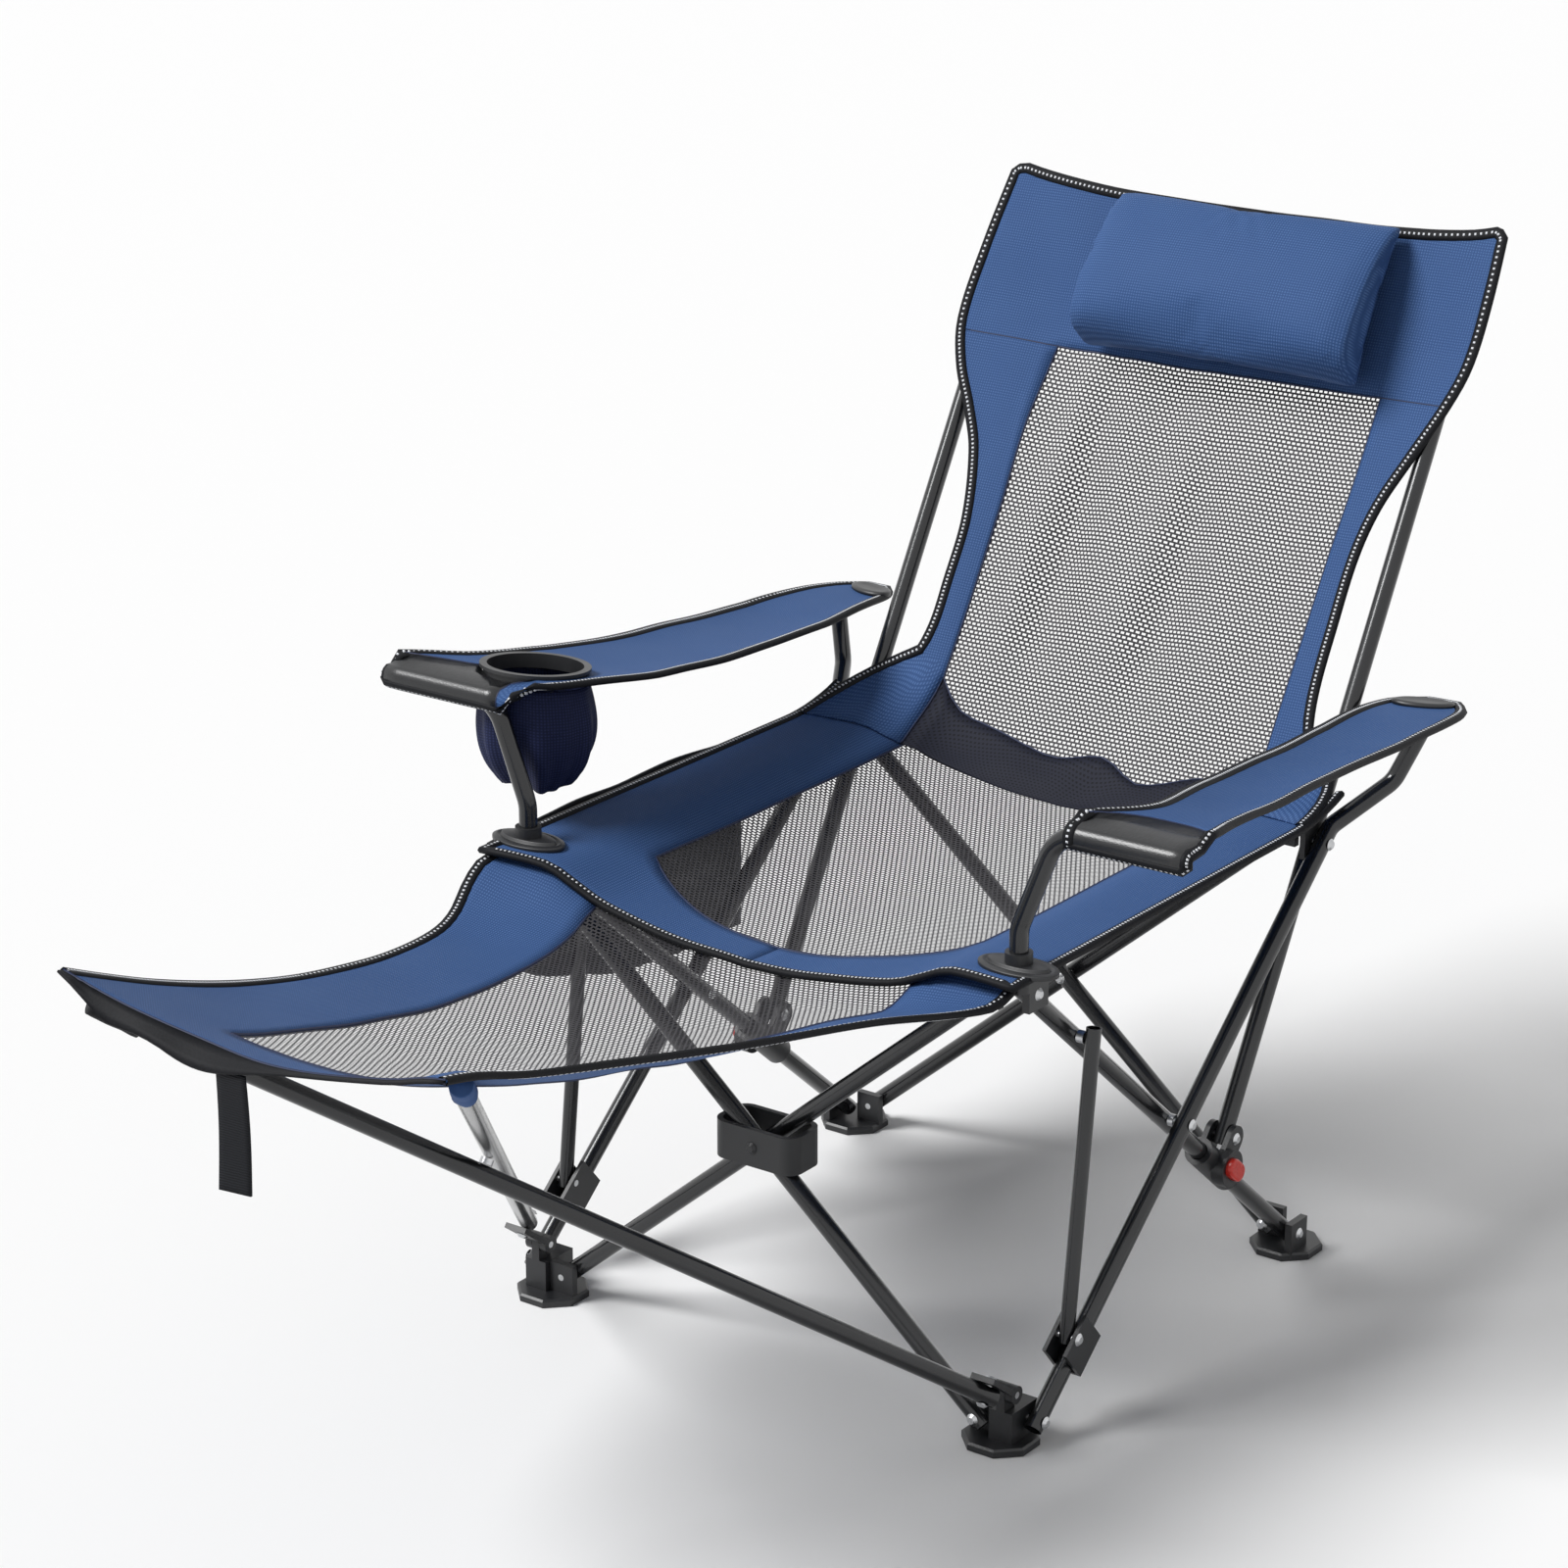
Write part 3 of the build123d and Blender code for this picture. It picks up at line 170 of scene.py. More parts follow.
def line(table, at):
    """A smooth line read from pairs of a place and its value."""
    for k, ((a, p), (b, q)) in enumerate(zip(table, table[1:])):
        if at <= b or k == len(table) - 2:
            before, after = table[max(k - 1, 0)], table[min(k + 2, len(table) - 1)]
            t = clip((at - a) / (b - a))
            rise_in = (q - before[1]) / (b - before[0]) * (b - a)
            rise_out = (after[1] - p) / (after[0] - a) * (b - a)
            return (p * (2 * t ** 3 - 3 * t ** 2 + 1) + q * (3 * t ** 2 - 2 * t ** 3)
                    + rise_in * (t ** 3 - 2 * t ** 2 + t) + rise_out * (t ** 3 - t ** 2))


def show(name, form, materials):
    """An object at the origin made from a bmesh, with smooth faces."""
    mesh = bpy.data.meshes.new(name)
    form.to_mesh(mesh)
    form.free()
    for face in mesh.polygons:
        face.use_smooth = True
    for material in materials:
        mesh.materials.append(material)
    piece = bpy.data.objects.new(name, mesh)
    bpy.context.scene.collection.objects.link(piece)
    return piece


def thicken(piece, thickness, offset=0.0):
    """A sheet's thickness, to both sides of it or, at an offset of 1, to its outside."""
    solid = piece.modifiers.new("cloth", "SOLIDIFY")
    solid.thickness, solid.offset = thickness, offset


def runs(edges):
    """Edges put in order: the crossings along each run of them, and whether it closes."""
    left = dict.fromkeys(edges)
    while left:
        uses = {}
        for edge in left:
            for v in edge.verts:
                uses[v] = uses.get(v, 0) + 1
        run, edge = [next((v for v in uses if uses[v] == 1), next(iter(uses)))], True
        while edge:
            edge = next((e for e in run[-1].link_edges if e in left), None)
            if edge:
                del left[edge]
                run.append(edge.other_vert(run[-1]))
        closed = run[0] == run[-1]
        yield (run[:-1] if closed else run), closed


# Stitches are a little thicker than thread so that they show
STITCH_APART, STITCH_LONG, STITCH_WIDE, STITCH_PROUD = 0.0046, 0.0018, 0.0022, 0.0003


def ribbon(form, edges, section, slot, stitch=0.0):
    """A band along edges, its section given as pairs inward and up, stitched across at a depth inward."""
    for run, closed in runs(edges):
        rings, ways, inward = [], [], Vector()
        for k, v in enumerate(run):
            before = run[k - 1] if k or closed else v
            after = run[(k + 1) % len(run)] if k + 1 < len(run) or closed else v
            along = (after.co - before.co).normalized()
            side = v.normal.cross(along).normalized()
            middle = sum((face.calc_center_median() - v.co for face in v.link_faces), Vector())
            if side.dot(middle if v.is_boundary else inward) < 0:
                side = -side
            inward = side
            ways.append((v.co.copy(), side, v.normal.copy()))
            rings.append([form.verts.new(v.co + side * a + v.normal * b) for a, b in section])
        pairs = list(zip(range(len(run)), range(1, len(run)))) + ([(len(run) - 1, 0)] if closed else [])
        for a, b in pairs:
            for k in range(len(section)):
                m = (k + 1) % len(section)
                face = form.faces.new((rings[a][k], rings[a][m], rings[b][m], rings[b][k]))
                face.material_index = slot
            if not stitch:
                continue
            (start, side, facing), (stop, other, _) = ways[a], ways[b]
            along = (stop - start).normalized()
            side = (side + other).normalized()
            facing = along.cross(side) if along.cross(side).dot(facing) > 0 else side.cross(along)
            count = max(1, round((stop - start).length / STITCH_APART))
            for k in range(count):
                turn = Matrix((along, side, facing)).transposed().to_4x4()
                place = Matrix.Translation(start.lerp(stop, (k + 0.5) / count) + side * stitch)
                made = bmesh.ops.create_cube(form, size=1, matrix=place @ turn @ Matrix.Diagonal((
                    STITCH_LONG, STITCH_WIDE, 2 * (section[1][1] + STITCH_PROUD), 1.0)))
                for v in made["verts"]:
                    for face in v.link_faces:
                        face.material_index = 1


def cut(name, columns, rows, lay, zone, panels, taped, sewn=lambda i, j: False):
    """A sheet cut as a grid and laid in place, parted into its panels, with its free edges bound.
    lay gives the place and the flat spot of a crossing; zone numbers a face's panel, counted from 0;
    panels gives each one's name, material and thickness; taped says which edges are bound, and sewn
    which lines inside a panel are seams, as the lines between panels are."""
    form = bmesh.new()
    bmesh.ops.create_grid(form, x_segments=columns, y_segments=rows, size=0.5)
    uv = form.loops.layers.uv.new("cut")
    share = {v: (v.co.x + 0.5, v.co.y + 0.5) for v in form.verts}
    spots = {}
    for v, (i, j) in share.items():
        v.co, spots[v] = lay(round(i * columns), round(j * rows))
    form.normal_update()
    for face in form.faces:
        i = sum(share[v][0] for v in face.verts) / len(face.verts) * columns
        j = sum(share[v][1] for v in face.verts) / len(face.verts) * rows
        face.material_index = zone(int(i), int(j))
        for loop in face.loops:
            loop[uv].uv = spots[loop.vert]
    edges, seams = [], []
    for edge in form.edges:
        i = sum(share[v][0] for v in edge.verts) / 2
        j = sum(share[v][1] for v in edge.verts) / 2
        if edge.is_boundary:
            if taped(i, j):
                edges.append(edge)
        elif len({face.material_index for face in edge.link_faces}) > 1 or sewn(i * columns, j * rows):
            seams.append(edge)
    band = bmesh.new()
    bead = [(-0.0025, 0), (-0.001, 0.0027), (0.006, 0.0028), (0.0085, 0.0012)]
    ribbon(band, edges, bead + [(a, -b) for a, b in bead[:0:-1]], 0, 0.0033)
    ribbon(band, seams, [(-0.0011, 0), (0, 0.002), (0.0011, 0), (0, -0.002)], 2)
    made = [show(name + "_binding", band, [binding_tape, white_thread, blue_thread])]
    for number, (panel, material, thickness) in enumerate(panels):
        part = form.copy()
        others = [face for face in part.faces if face.material_index != number]
        bmesh.ops.delete(part, geom=others, context="FACES")
        layer = part.loops.layers.uv["cut"]
        corners = [[loop[layer].uv.copy() for loop in face.loops] for face in part.faces]
        for face in part.faces:
            face.material_index = 0
        flat = [spot for face in corners for spot in face]
        piece = show(panel, part, [material])
        if thickness:
            thicken(piece, thickness)
        with_pieces = made[:1] if number == 0 else ()
        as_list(with_pieces)
        made.append(piece)
    form.free()
    return made


def weave(name, pale, dark, deep):
    """Coated oxford cloth: plain weave, matt and a little cloudy where the coating lies thicker."""
    material, tree, shader = begin(name, Roughness=0.7, IOR=1.4, Specular_IOR_Level=0.25)
    spot = add(tree, "ShaderNodeTexCoord").outputs["UV"]
    # Threads of 0.7 mm are drawn 2.6 mm apart so that the weave shows
    warp, weft = [add(tree, "ShaderNodeTexWave", {
        "Vector": spot, "Scale": 120.0, "Distortion": 0.8, "Detail": 1.0}, bands_direction=way).outputs["Fac"]
        for way in "XY"]
    cross = add(tree, "ShaderNodeMath", {0: warp, 1: weft}, operation="MULTIPLY").outputs["Value"]
    cloudy = add(tree, "ShaderNodeTexNoise", {"Vector": spot, "Scale": 22.0, "Detail": 5.0}).outputs["Fac"]
    ground = add(tree, "ShaderNodeMix", {"Factor": cloudy, "A": paint(dark), "B": paint(pale)},
                 data_type="RGBA")
    tint = add(tree, "ShaderNodeMix", {"Factor": cross, "A": paint(deep), "B": ground.outputs["Result"]},
               data_type="RGBA")
    tree.links.new(tint.outputs["Result"], shader.inputs["Base Color"])
    bump = add(tree, "ShaderNodeBump", {"Height": cross, "Strength": 0.4, "Distance": 0.0008})
    tree.links.new(bump.outputs["Normal"], shader.inputs["Normal"])
    return material


oxford = weave("blue_oxford_cloth", "#5777A7", "#486698", "#2F4B79")

# Warp-knitted polyester mesh: dark grey threads round staggered holes, seen through where nothing lies behind
sling_mesh, tree, shader = begin("knitted_polyester_mesh", Roughness=0.6, Specular_IOR_Level=0.2)
spot = add(tree, "ShaderNodeTexCoord").outputs["UV"]
# Holes 5 mm by 4 mm apart, in centimetres
holes = add(tree, "ShaderNodeTexBrick", {
    "Vector": spot, "Scale": 100.0, "Mortar Size": 0.099, "Mortar Smooth": 0.2, "Brick Width": 0.5,
    "Row Height": 0.4}, offset=0.5)
lit = add(tree, "ShaderNodeTexNoise", {"Vector": spot, "Scale": 60.0, "Detail": 3.0}).outputs["Fac"]
tint = add(tree, "ShaderNodeMix", {"Factor": lit, "A": paint("#2C2B2E"), "B": paint("#464548")},
           data_type="RGBA")
tree.links.new(tint.outputs["Result"], shader.inputs["Base Color"])
tree.links.new(holes.outputs["Fac"], shader.inputs["Alpha"])

# Polypropylene binding tape, folded over each edge: black, its 2 mm ribs drawn as an even grain
binding_tape, tree, shader = begin("black_binding_tape", Roughness=0.6, Specular_IOR_Level=0.15)
spot = add(tree, "ShaderNodeTexCoord").outputs["Object"]
ribs = add(tree, "ShaderNodeTexNoise", {"Vector": spot, "Scale": 500.0, "Detail": 1.0}).outputs["Fac"]
tint = add(tree, "ShaderNodeMix", {"Factor": ribs, "A": paint("#090A0D"), "B": paint("#17181C")},
           data_type="RGBA")
tree.links.new(tint.outputs["Result"], shader.inputs["Base Color"])
bump = add(tree, "ShaderNodeBump", {"Height": ribs, "Strength": 0.3, "Distance": 0.0005})
tree.links.new(bump.outputs["Normal"], shader.inputs["Normal"])

# Bonded polyester sewing thread, off-white
white_thread, tree, shader = begin("white_sewing_thread", Roughness=0.5, IOR=1.5)
spot = add(tree, "ShaderNodeTexCoord").outputs["Object"]
ply = add(tree, "ShaderNodeTexNoise", {"Vector": spot, "Scale": 900.0, "Detail": 1.0}).outputs["Fac"]
tint = add(tree, "ShaderNodeMix", {"Factor": ply, "A": paint("#C6CBD4"), "B": paint("#F2F3F5")},
           data_type="RGBA")
tree.links.new(tint.outputs["Result"], shader.inputs["Base Color"])

# Navy thread of the seams between the panels
blue_thread, tree, shader = begin("navy_sewing_thread", Roughness=0.6, IOR=1.5)
spot = add(tree, "ShaderNodeTexCoord").outputs["Object"]
ply = add(tree, "ShaderNodeTexNoise", {"Vector": spot, "Scale": 700.0, "Detail": 1.0}).outputs["Fac"]
tint = add(tree, "ShaderNodeMix", {"Factor": ply, "A": paint("#0E1730"), "B": paint("#1C2B52")},
           data_type="RGBA")
tree.links.new(tint.outputs["Result"], shader.inputs["Base Color"])

# The seat's height above the floor from the middle out, which the near end of the footrest hangs under
SEAT_Z = [(0.0, 0.3815), (0.067, 0.386), (0.149, 0.4015), (0.185, 0.4165), (0.205, 0.425),
          (0.235, 0.4275), (0.28, 0.428)]
# The footrest's half widths and heights, by the distance from the front scissor
FOOT_LEFT_X = [(-0.64, 0.184), (-0.58, 0.197), (-0.52, 0.206), (-0.455, 0.216), (-0.39, 0.225),
               (-0.325, 0.232), (-0.26, 0.238), (-0.205, 0.244), (-0.15, 0.251), (-0.115, 0.258),
               (-0.09, 0.265), (-0.07, 0.272), (-0.045, 0.274), (-0.01, 0.262)]
FOOT_LEFT_Z = [(-0.64, 0.529), (-0.58, 0.501), (-0.52, 0.475), (-0.455, 0.45), (-0.39, 0.428),
               (-0.325, 0.41), (-0.26, 0.397), (-0.205, 0.388), (-0.15, 0.384), (-0.115, 0.385),
               (-0.09, 0.392), (-0.07, 0.403), (-0.045, 0.418), (-0.01, 0.4245)]
FOOT_RIGHT_X = [(-0.64, 0.184), (-0.5, 0.198), (-0.3, 0.219), (-0.15, 0.236), (-0.06, 0.252),
                (-0.03, 0.262), (-0.01, 0.262)]
FOOT_RIGHT_Z = [(-0.64, 0.528), (-0.562, 0.51), (-0.487, 0.494), (-0.323, 0.46), (-0.175, 0.433),
                (-0.08, 0.412), (-0.045, 0.408), (-0.03, 0.415), (-0.01, 0.4245)]
FOOT_MIDDLE_Z = [(-0.64, 0.505), (-0.6, 0.484), (-0.5, 0.443), (-0.4, 0.413), (-0.3, 0.393),
                 (-0.2, 0.382), (-0.1, 0.376), (-0.01, 0.376)]
FOOT_NET_LEFT = [(-0.64, 0.084), (-0.55, 0.094), (-0.416, 0.117), (-0.29, 0.129), (-0.2, 0.137),
                 (-0.08, 0.15), (-0.01, 0.16)]
FOOT_NET_RIGHT = [(-0.64, 0.098), (-0.43, 0.123), (-0.27, 0.142), (-0.21, 0.149), (-0.063, 0.166),
                  (-0.01, 0.17)]
FOOT_NEAR, FOOT_FAR, FOOT_BAND = -0.014, -0.634, 0.085
FOOT_SIDE, FOOT_COLUMNS = 8, 40
FOOT_NET_ROWS, FOOT_HEM_ROW, FOOT_ROWS = 48, 53, 56


def lay_footrest(i, j):
    """Side panels of 8 columns, a mesh of 24 between them, a far band of 5 rows and a hem of 3."""
    share = (i / FOOT_COLUMNS - 0.3) / 0.2
    hem = 0.006 + 0.012 * math.exp(-share * share)
    if j <= FOOT_NET_ROWS:
        run = FOOT_NEAR + (FOOT_FAR + FOOT_BAND - FOOT_NEAR) * j / FOOT_NET_ROWS
    elif j <= FOOT_HEM_ROW:
        run = FOOT_FAR + hem + (FOOT_BAND - hem) * (FOOT_HEM_ROW - j) / (FOOT_HEM_ROW - FOOT_NET_ROWS)
    else:
        run = FOOT_FAR + hem * (FOOT_ROWS - j) / (FOOT_ROWS - FOOT_HEM_ROW)
    left, right = -line(FOOT_LEFT_X, run), line(FOOT_RIGHT_X, run)
    net_left, net_right = -line(FOOT_NET_LEFT, run), line(FOOT_NET_RIGHT, run)
    if i < FOOT_SIDE:
        x = left + (net_left - left) * i / FOOT_SIDE
    elif i > FOOT_COLUMNS - FOOT_SIDE:
        x = right - (right - net_right) * (FOOT_COLUMNS - i) / FOOT_SIDE
    else:
        x = net_left + (net_right - net_left) * (i - FOOT_SIDE) / (FOOT_COLUMNS - 2 * FOOT_SIDE)
    edge, table = (-left, FOOT_LEFT_Z) if x < 0 else (right, FOOT_RIGHT_Z)
    out = min(abs(x) / edge, 1.0)
    side_z, middle_z = line(table, run), line(FOOT_MIDDLE_Z, run)
    z = side_z + (middle_z - side_z) * (1 - out ** 1.8)
    # Slack folds lie across the mesh and die out at the bound edges
    z += 0.0035 * noise.noise(Vector((x * 8, run * 13, 0.3))) * (1 - out ** 6)
    # The panel lifts over the end of the tube at the right corner
    z += 0.008 * math.exp(-((x - 0.168) / 0.022) ** 2 - ((run + 0.594) / 0.036) ** 2)
    turned = max(j - FOOT_HEM_ROW, 0) / (FOOT_ROWS - FOOT_HEM_ROW)
    z -= (0.003 + 0.02 * math.exp(-share * share)) * turned * (1 - out ** 6)
    # The hem hangs over the end of the tube at the left corner
    z -= 0.012 * turned * math.exp(-((i - 3.5) / 2.2) ** 2)
    under = clip((run + 0.065) / 0.045)
    z += (min(line(SEAT_Z, abs(x)) - 0.0035, side_z) - z) * under
    return Vector((x, run + FRONT_Y, z)), Vector((x, -run * 1.03))


def footrest_zone(i, j):
    """Side panels and far band are 0, the mesh is 1, and the hem is 2."""
    if j >= FOOT_HEM_ROW:
        return 2
    return 1 if FOOT_SIDE <= i < FOOT_COLUMNS - FOOT_SIDE and j < FOOT_NET_ROWS else 0


def footrest_seam(i, j):
    """The far band is sewn to the side panels, and its corners are pieced."""
    if i in (FOOT_SIDE, FOOT_COLUMNS - FOOT_SIDE):
        return j > FOOT_NET_ROWS
    return j == FOOT_NET_ROWS and not FOOT_SIDE <= i <= FOOT_COLUMNS - FOOT_SIDE


footrest = cut(
    "footrest", FOOT_COLUMNS, FOOT_ROWS, lay_footrest, footrest_zone,
    [("footrest_panels", oxford, 0.0016), ("footrest_mesh", sling_mesh, 0),
     ("footrest_hem", binding_tape, 0.002)],
    lambda i, j: 0.001 < j < 0.95, footrest_seam)
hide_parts("footrest_sling")


def fold_with(pieces, body, axis, anchor, keep):
    """Soft pieces ride on a body, each with its own copy of its mesh."""
    for piece in pieces:
        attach(piece, body)
        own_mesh(piece)
        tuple(axis)
        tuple(anchor)


FOOT_GATHER = ((1, 0, 0), (-0.247, 0, 0), 0.28)
fold_with(footrest, "front_hub_left", *FOOT_GATHER)
for piece in footrest[1:]:
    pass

# Corner pockets: caps sewn at the far corners and pulled over the ends of the footrest tubes.
# One is of blue oxford and the other, behind the hem, of the hem's own black tape.
SIDES = (("left", -1), ("right", 1))
for side, number in SIDES:
    low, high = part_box(f"footrest_tube_{side}")
    foot = Vector((low.x if number < 0 else high.x, high.y, low.z)) + Vector((-0.008 * number, -0.008, 0.008))
    end = Vector((high.x if number < 0 else low.x, low.y, high.z)) + Vector((0.006 * number, 0.006, -0.007))
    along = (end - foot).normalized()
    form = bmesh.new()
    bmesh.ops.create_cone(form, cap_ends=True, segments=28, radius1=0.0086, radius2=0.0076, depth=1.0)
    upright = [e for e in form.edges if abs(e.verts[0].co.z - e.verts[1].co.z) > 0.5]
    bmesh.ops.subdivide_edges(form, edges=upright, cuts=9)
    mouth = [f for f in form.faces if f.calc_center_median().z < -0.49]
    bmesh.ops.delete(form, geom=mouth, context="FACES_ONLY")
    for v in form.verts:
        reach = v.co.z + 0.5
        pucker = noise.noise(Vector((v.co.x * 150, v.co.y * 150, reach * 3 + number)))
        swell = 1.02 + 0.16 * pucker * (1 - reach)
        v.co = Vector((v.co.x * swell, v.co.y * swell, reach * 0.042 - 0.036))
    turn = along.to_track_quat("Z", "Y").to_matrix().to_4x4()
    bmesh.ops.transform(form, matrix=Matrix.Translation(end) @ turn, verts=form.verts)
    pocket = show(f"footrest_pocket_{side}", form, [oxford if side == "left" else binding_tape])
    thicken(pocket, 0.0012, 1.0)
    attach(pocket, f"footrest_tube_{side}")

# Strap: black polypropylene webbing, woven in ribs across, sewn under the middle of the far edge.
# It hangs free, with a slight twist.
webbing, tree, shader = begin("black_polypropylene_webbing", Roughness=0.6, Specular_IOR_Level=0.15)
spot = add(tree, "ShaderNodeTexCoord").outputs["UV"]
# Ribs of 1 mm are drawn 2 mm apart
ribs = add(tree, "ShaderNodeTexWave", {"Vector": spot, "Scale": 157.0, "Distortion": 1.0, "Detail": 1.0},
           bands_direction="Y").outputs["Fac"]
tint = add(tree, "ShaderNodeMix", {"Factor": ribs, "A": paint("#0B0C0F"), "B": paint("#1D1F24")},
           data_type="RGBA")
tree.links.new(tint.outputs["Result"], shader.inputs["Base Color"])
bump = add(tree, "ShaderNodeBump", {"Height": ribs, "Strength": 0.5, "Distance": 0.0006})
tree.links.new(bump.outputs["Normal"], shader.inputs["Normal"])
STRAP_X, STRAP_TOP, STRAP_WIDTH, STRAP_LENGTH = -0.018, 0.484, 0.028, 0.095
strap_low, strap_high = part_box("footrest_strap")
form = bmesh.new()
bmesh.ops.create_grid(form, x_segments=6, y_segments=20, size=0.5)
uv = form.loops.layers.uv.new("cut")
for face in form.faces:
    for loop in face.loops:
        loop[uv].uv = (loop.vert.co.x * STRAP_WIDTH, loop.vert.co.y * STRAP_LENGTH)
for v in form.verts:
    down = 0.5 - v.co.y
    lean = 0.0015 * math.sin(down * 3.4) + 0.002 * down * v.co.x * 2 + 0.006
    v.co = Vector((v.co.x * (strap_high.x - strap_low.x) + STRAP_X, (strap_low.y + strap_high.y) / 2 + lean,
                   STRAP_TOP - STRAP_LENGTH * down))
strap = show("strap", form, [webbing])
thicken(strap, 0.002)
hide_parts("footrest_strap")
fold_with([strap], "front_hub_left", *FOOT_GATHER)

# Seat: mesh in the middle, wide oxford strips at the sides and a front border that dips over the footrest.
# It is held at its corners on the hubs and sags between them; each half folds down from its own side.
SEAT_NET_X, SEAT_EDGE_X, SEAT_REAR_Y = 0.172, 0.274, 0.484
SEAT_NET, SEAT_COLUMNS, SEAT_BORDER, SEAT_ROWS = 14, 22, 6, 40
SEAT_GATHER = ((0, 1, 0), (0, 0.014 + FRONT_Y, 0), 0.2)
for side, number in SIDES:
    def lay_seat(i, j, number=number):
        """A mesh of 14 columns, a side strip of 8, and a front border of 6 rows."""
        if i <= SEAT_NET:
            x = SEAT_NET_X * i / SEAT_NET
        else:
            x = SEAT_NET_X + (SEAT_EDGE_X - SEAT_NET_X) * (i - SEAT_NET) / (SEAT_COLUMNS - SEAT_NET)
        front = -0.032 - 0.012 * (x / SEAT_EDGE_X) ** 3
        border = 0.05 + 0.055 * (min(x, SEAT_NET_X) / SEAT_NET_X) ** 2.4
        start = front + border
        if j <= SEAT_BORDER:
            y = front + border * j / SEAT_BORDER
        else:
            y = start + (SEAT_REAR_Y - start) * (j - SEAT_BORDER) / (SEAT_ROWS - SEAT_BORDER)
        z = line(SEAT_Z, x)
        z -= 0.005 * (1 - (x / SEAT_EDGE_X) ** 2) * math.sin(math.pi * clip((y - front) / 0.5))
        z += 0.0026 * noise.noise(Vector((x * number * 11, y * 8, 1.7))) * (1 - min(x / 0.2, 1.0) ** 4)
        z += 0.014 * max(0.0, (y - 0.4) / 0.08) ** 2 * max(0.0, (x - 0.24) / 0.034)
        return Vector((x * number, y + FRONT_Y, z)), Vector((x * number * 1.02, y))

    made = cut(
        f"seat_{side}", SEAT_COLUMNS, SEAT_ROWS, lay_seat,
        lambda i, j: 0 if i >= SEAT_NET or j < SEAT_BORDER else 1,
        [(f"seat_panels_{side}", oxford, 0.0016), (f"seat_mesh_{side}", sling_mesh, 0)],
        lambda i, j: j < 0.999 and i > 0.001)
    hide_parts(f"seat_{side}")
    for piece in made[1:]:
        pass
    fold_with(made, f"seat_{side}", *SEAT_GATHER)

# Corner eyelets: oval black nylon plates, moulded with a raised rim and clenched through the seat's front
# corners. The arm posts pass through them.


def oval_plate(name, segments, half_width, half_depth, steps, place):
    """A plate 3.5 mm thick with its top stepped, each step given as its width and its rise."""
    form = bmesh.new()
    bmesh.ops.create_circle(form, cap_ends=True, segments=segments, radius=1.0)
    bmesh.ops.scale(form, vec=(half_width, half_depth, 1.0), verts=form.verts)
    lifted = bmesh.ops.extrude_face_region(form, geom=form.faces[:])["geom"]
    top = [v for v in lifted if isinstance(v, bmesh.types.BMVert)]
    bmesh.ops.translate(form, vec=(0, 0, 0.0035), verts=top)
    cap = [face for face in form.faces if all(v in top for v in face.verts)]
    for width, rise in steps:
        bmesh.ops.inset_region(form, faces=cap, thickness=width, depth=rise)
    bmesh.ops.recalc_face_normals(form, faces=form.faces)
    bmesh.ops.transform(form, matrix=place, verts=form.verts)
    plate = show(name, form, [moulded_nylon])
    return plate


for side, number in SIDES:
    eyelet = oval_plate(f"seat_eyelet_{side}", 48, 0.037, 0.021,
                        [(0.004, 0.0012), (0.0035, -0.0012), (0.001, 0.003)],
                        Matrix.Translation((0.253 * number, -0.004 + FRONT_Y, 0.4275)))
    soft = eyelet.modifiers.new("edge", "BEVEL")
    soft.width, soft.segments, soft.limit_method = 0.0006, 2, "ANGLE"
    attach(eyelet, f"front_hub_{side}")

# Side pocket: a slack pouch of black cloth, folded once along its bottom and bound along its mouth.
# It is sewn under the edge of the seat on the cup holder's side.
pocket_cloth, tree, shader = begin("black_pocket_cloth", Roughness=0.75, IOR=1.45, Sheen_Weight=0.15)
spot = add(tree, "ShaderNodeTexCoord").outputs["UV"]
# Threads drawn 2.4 mm apart
rib = add(tree, "ShaderNodeTexWave", {"Vector": spot, "Scale": 130.0, "Distortion": 0.8, "Detail": 1.0},
          bands_direction="DIAGONAL").outputs["Fac"]
tint = add(tree, "ShaderNodeMix", {"Factor": rib, "A": paint("#101114"), "B": paint("#22242A")},
           data_type="RGBA")
tree.links.new(tint.outputs["Result"], shader.inputs["Base Color"])
bump = add(tree, "ShaderNodeBump", {"Height": rib, "Strength": 0.4, "Distance": 0.0006})
tree.links.new(bump.outputs["Normal"], shader.inputs["Normal"])
POCKET_COLUMNS, POCKET_ROWS, POCKET_LENGTH, POCKET_DEPTH = 30, 24, 0.36, 0.185


def lay_pocket(i, j):
    """One cloth of 30 columns that goes down the outside, round the bottom and up the inside in 24 rows."""
    depth = POCKET_DEPTH - 0.08 * (1 - i / POCKET_COLUMNS) ** 3
    y = -0.015 + POCKET_LENGTH * i / POCKET_COLUMNS
    turn = j / POCKET_ROWS * 2 - 1
    swell = 0.026 * math.sin(math.pi * (i + 2) / (POCKET_COLUMNS + 4)) ** 0.5
    out = math.copysign(abs(math.sin(turn * math.pi / 2)) ** 0.7, turn)
    down = 1 - abs(turn) ** 2.2
    bulge = math.sin(math.pi * clip(down)) * 0.5 + 0.25
    x = -0.283 - swell * bulge + out * swell * bulge * 0.9
    z = 0.421 - depth * down + 0.004 * noise.noise(Vector((y * 14, turn * 2, 4.0)))
    return Vector((x, y + FRONT_Y, z)), Vector((y, turn * depth))


pocket = cut(
    "side_pocket", POCKET_COLUMNS, POCKET_ROWS, lay_pocket, lambda i, j: 0,
    [("side_pocket", pocket_cloth, 0.0014)],
    lambda i, j: j < 0.001 or j > 0.999)
fold_with(pocket, "front_hub_left", *SEAT_GATHER)

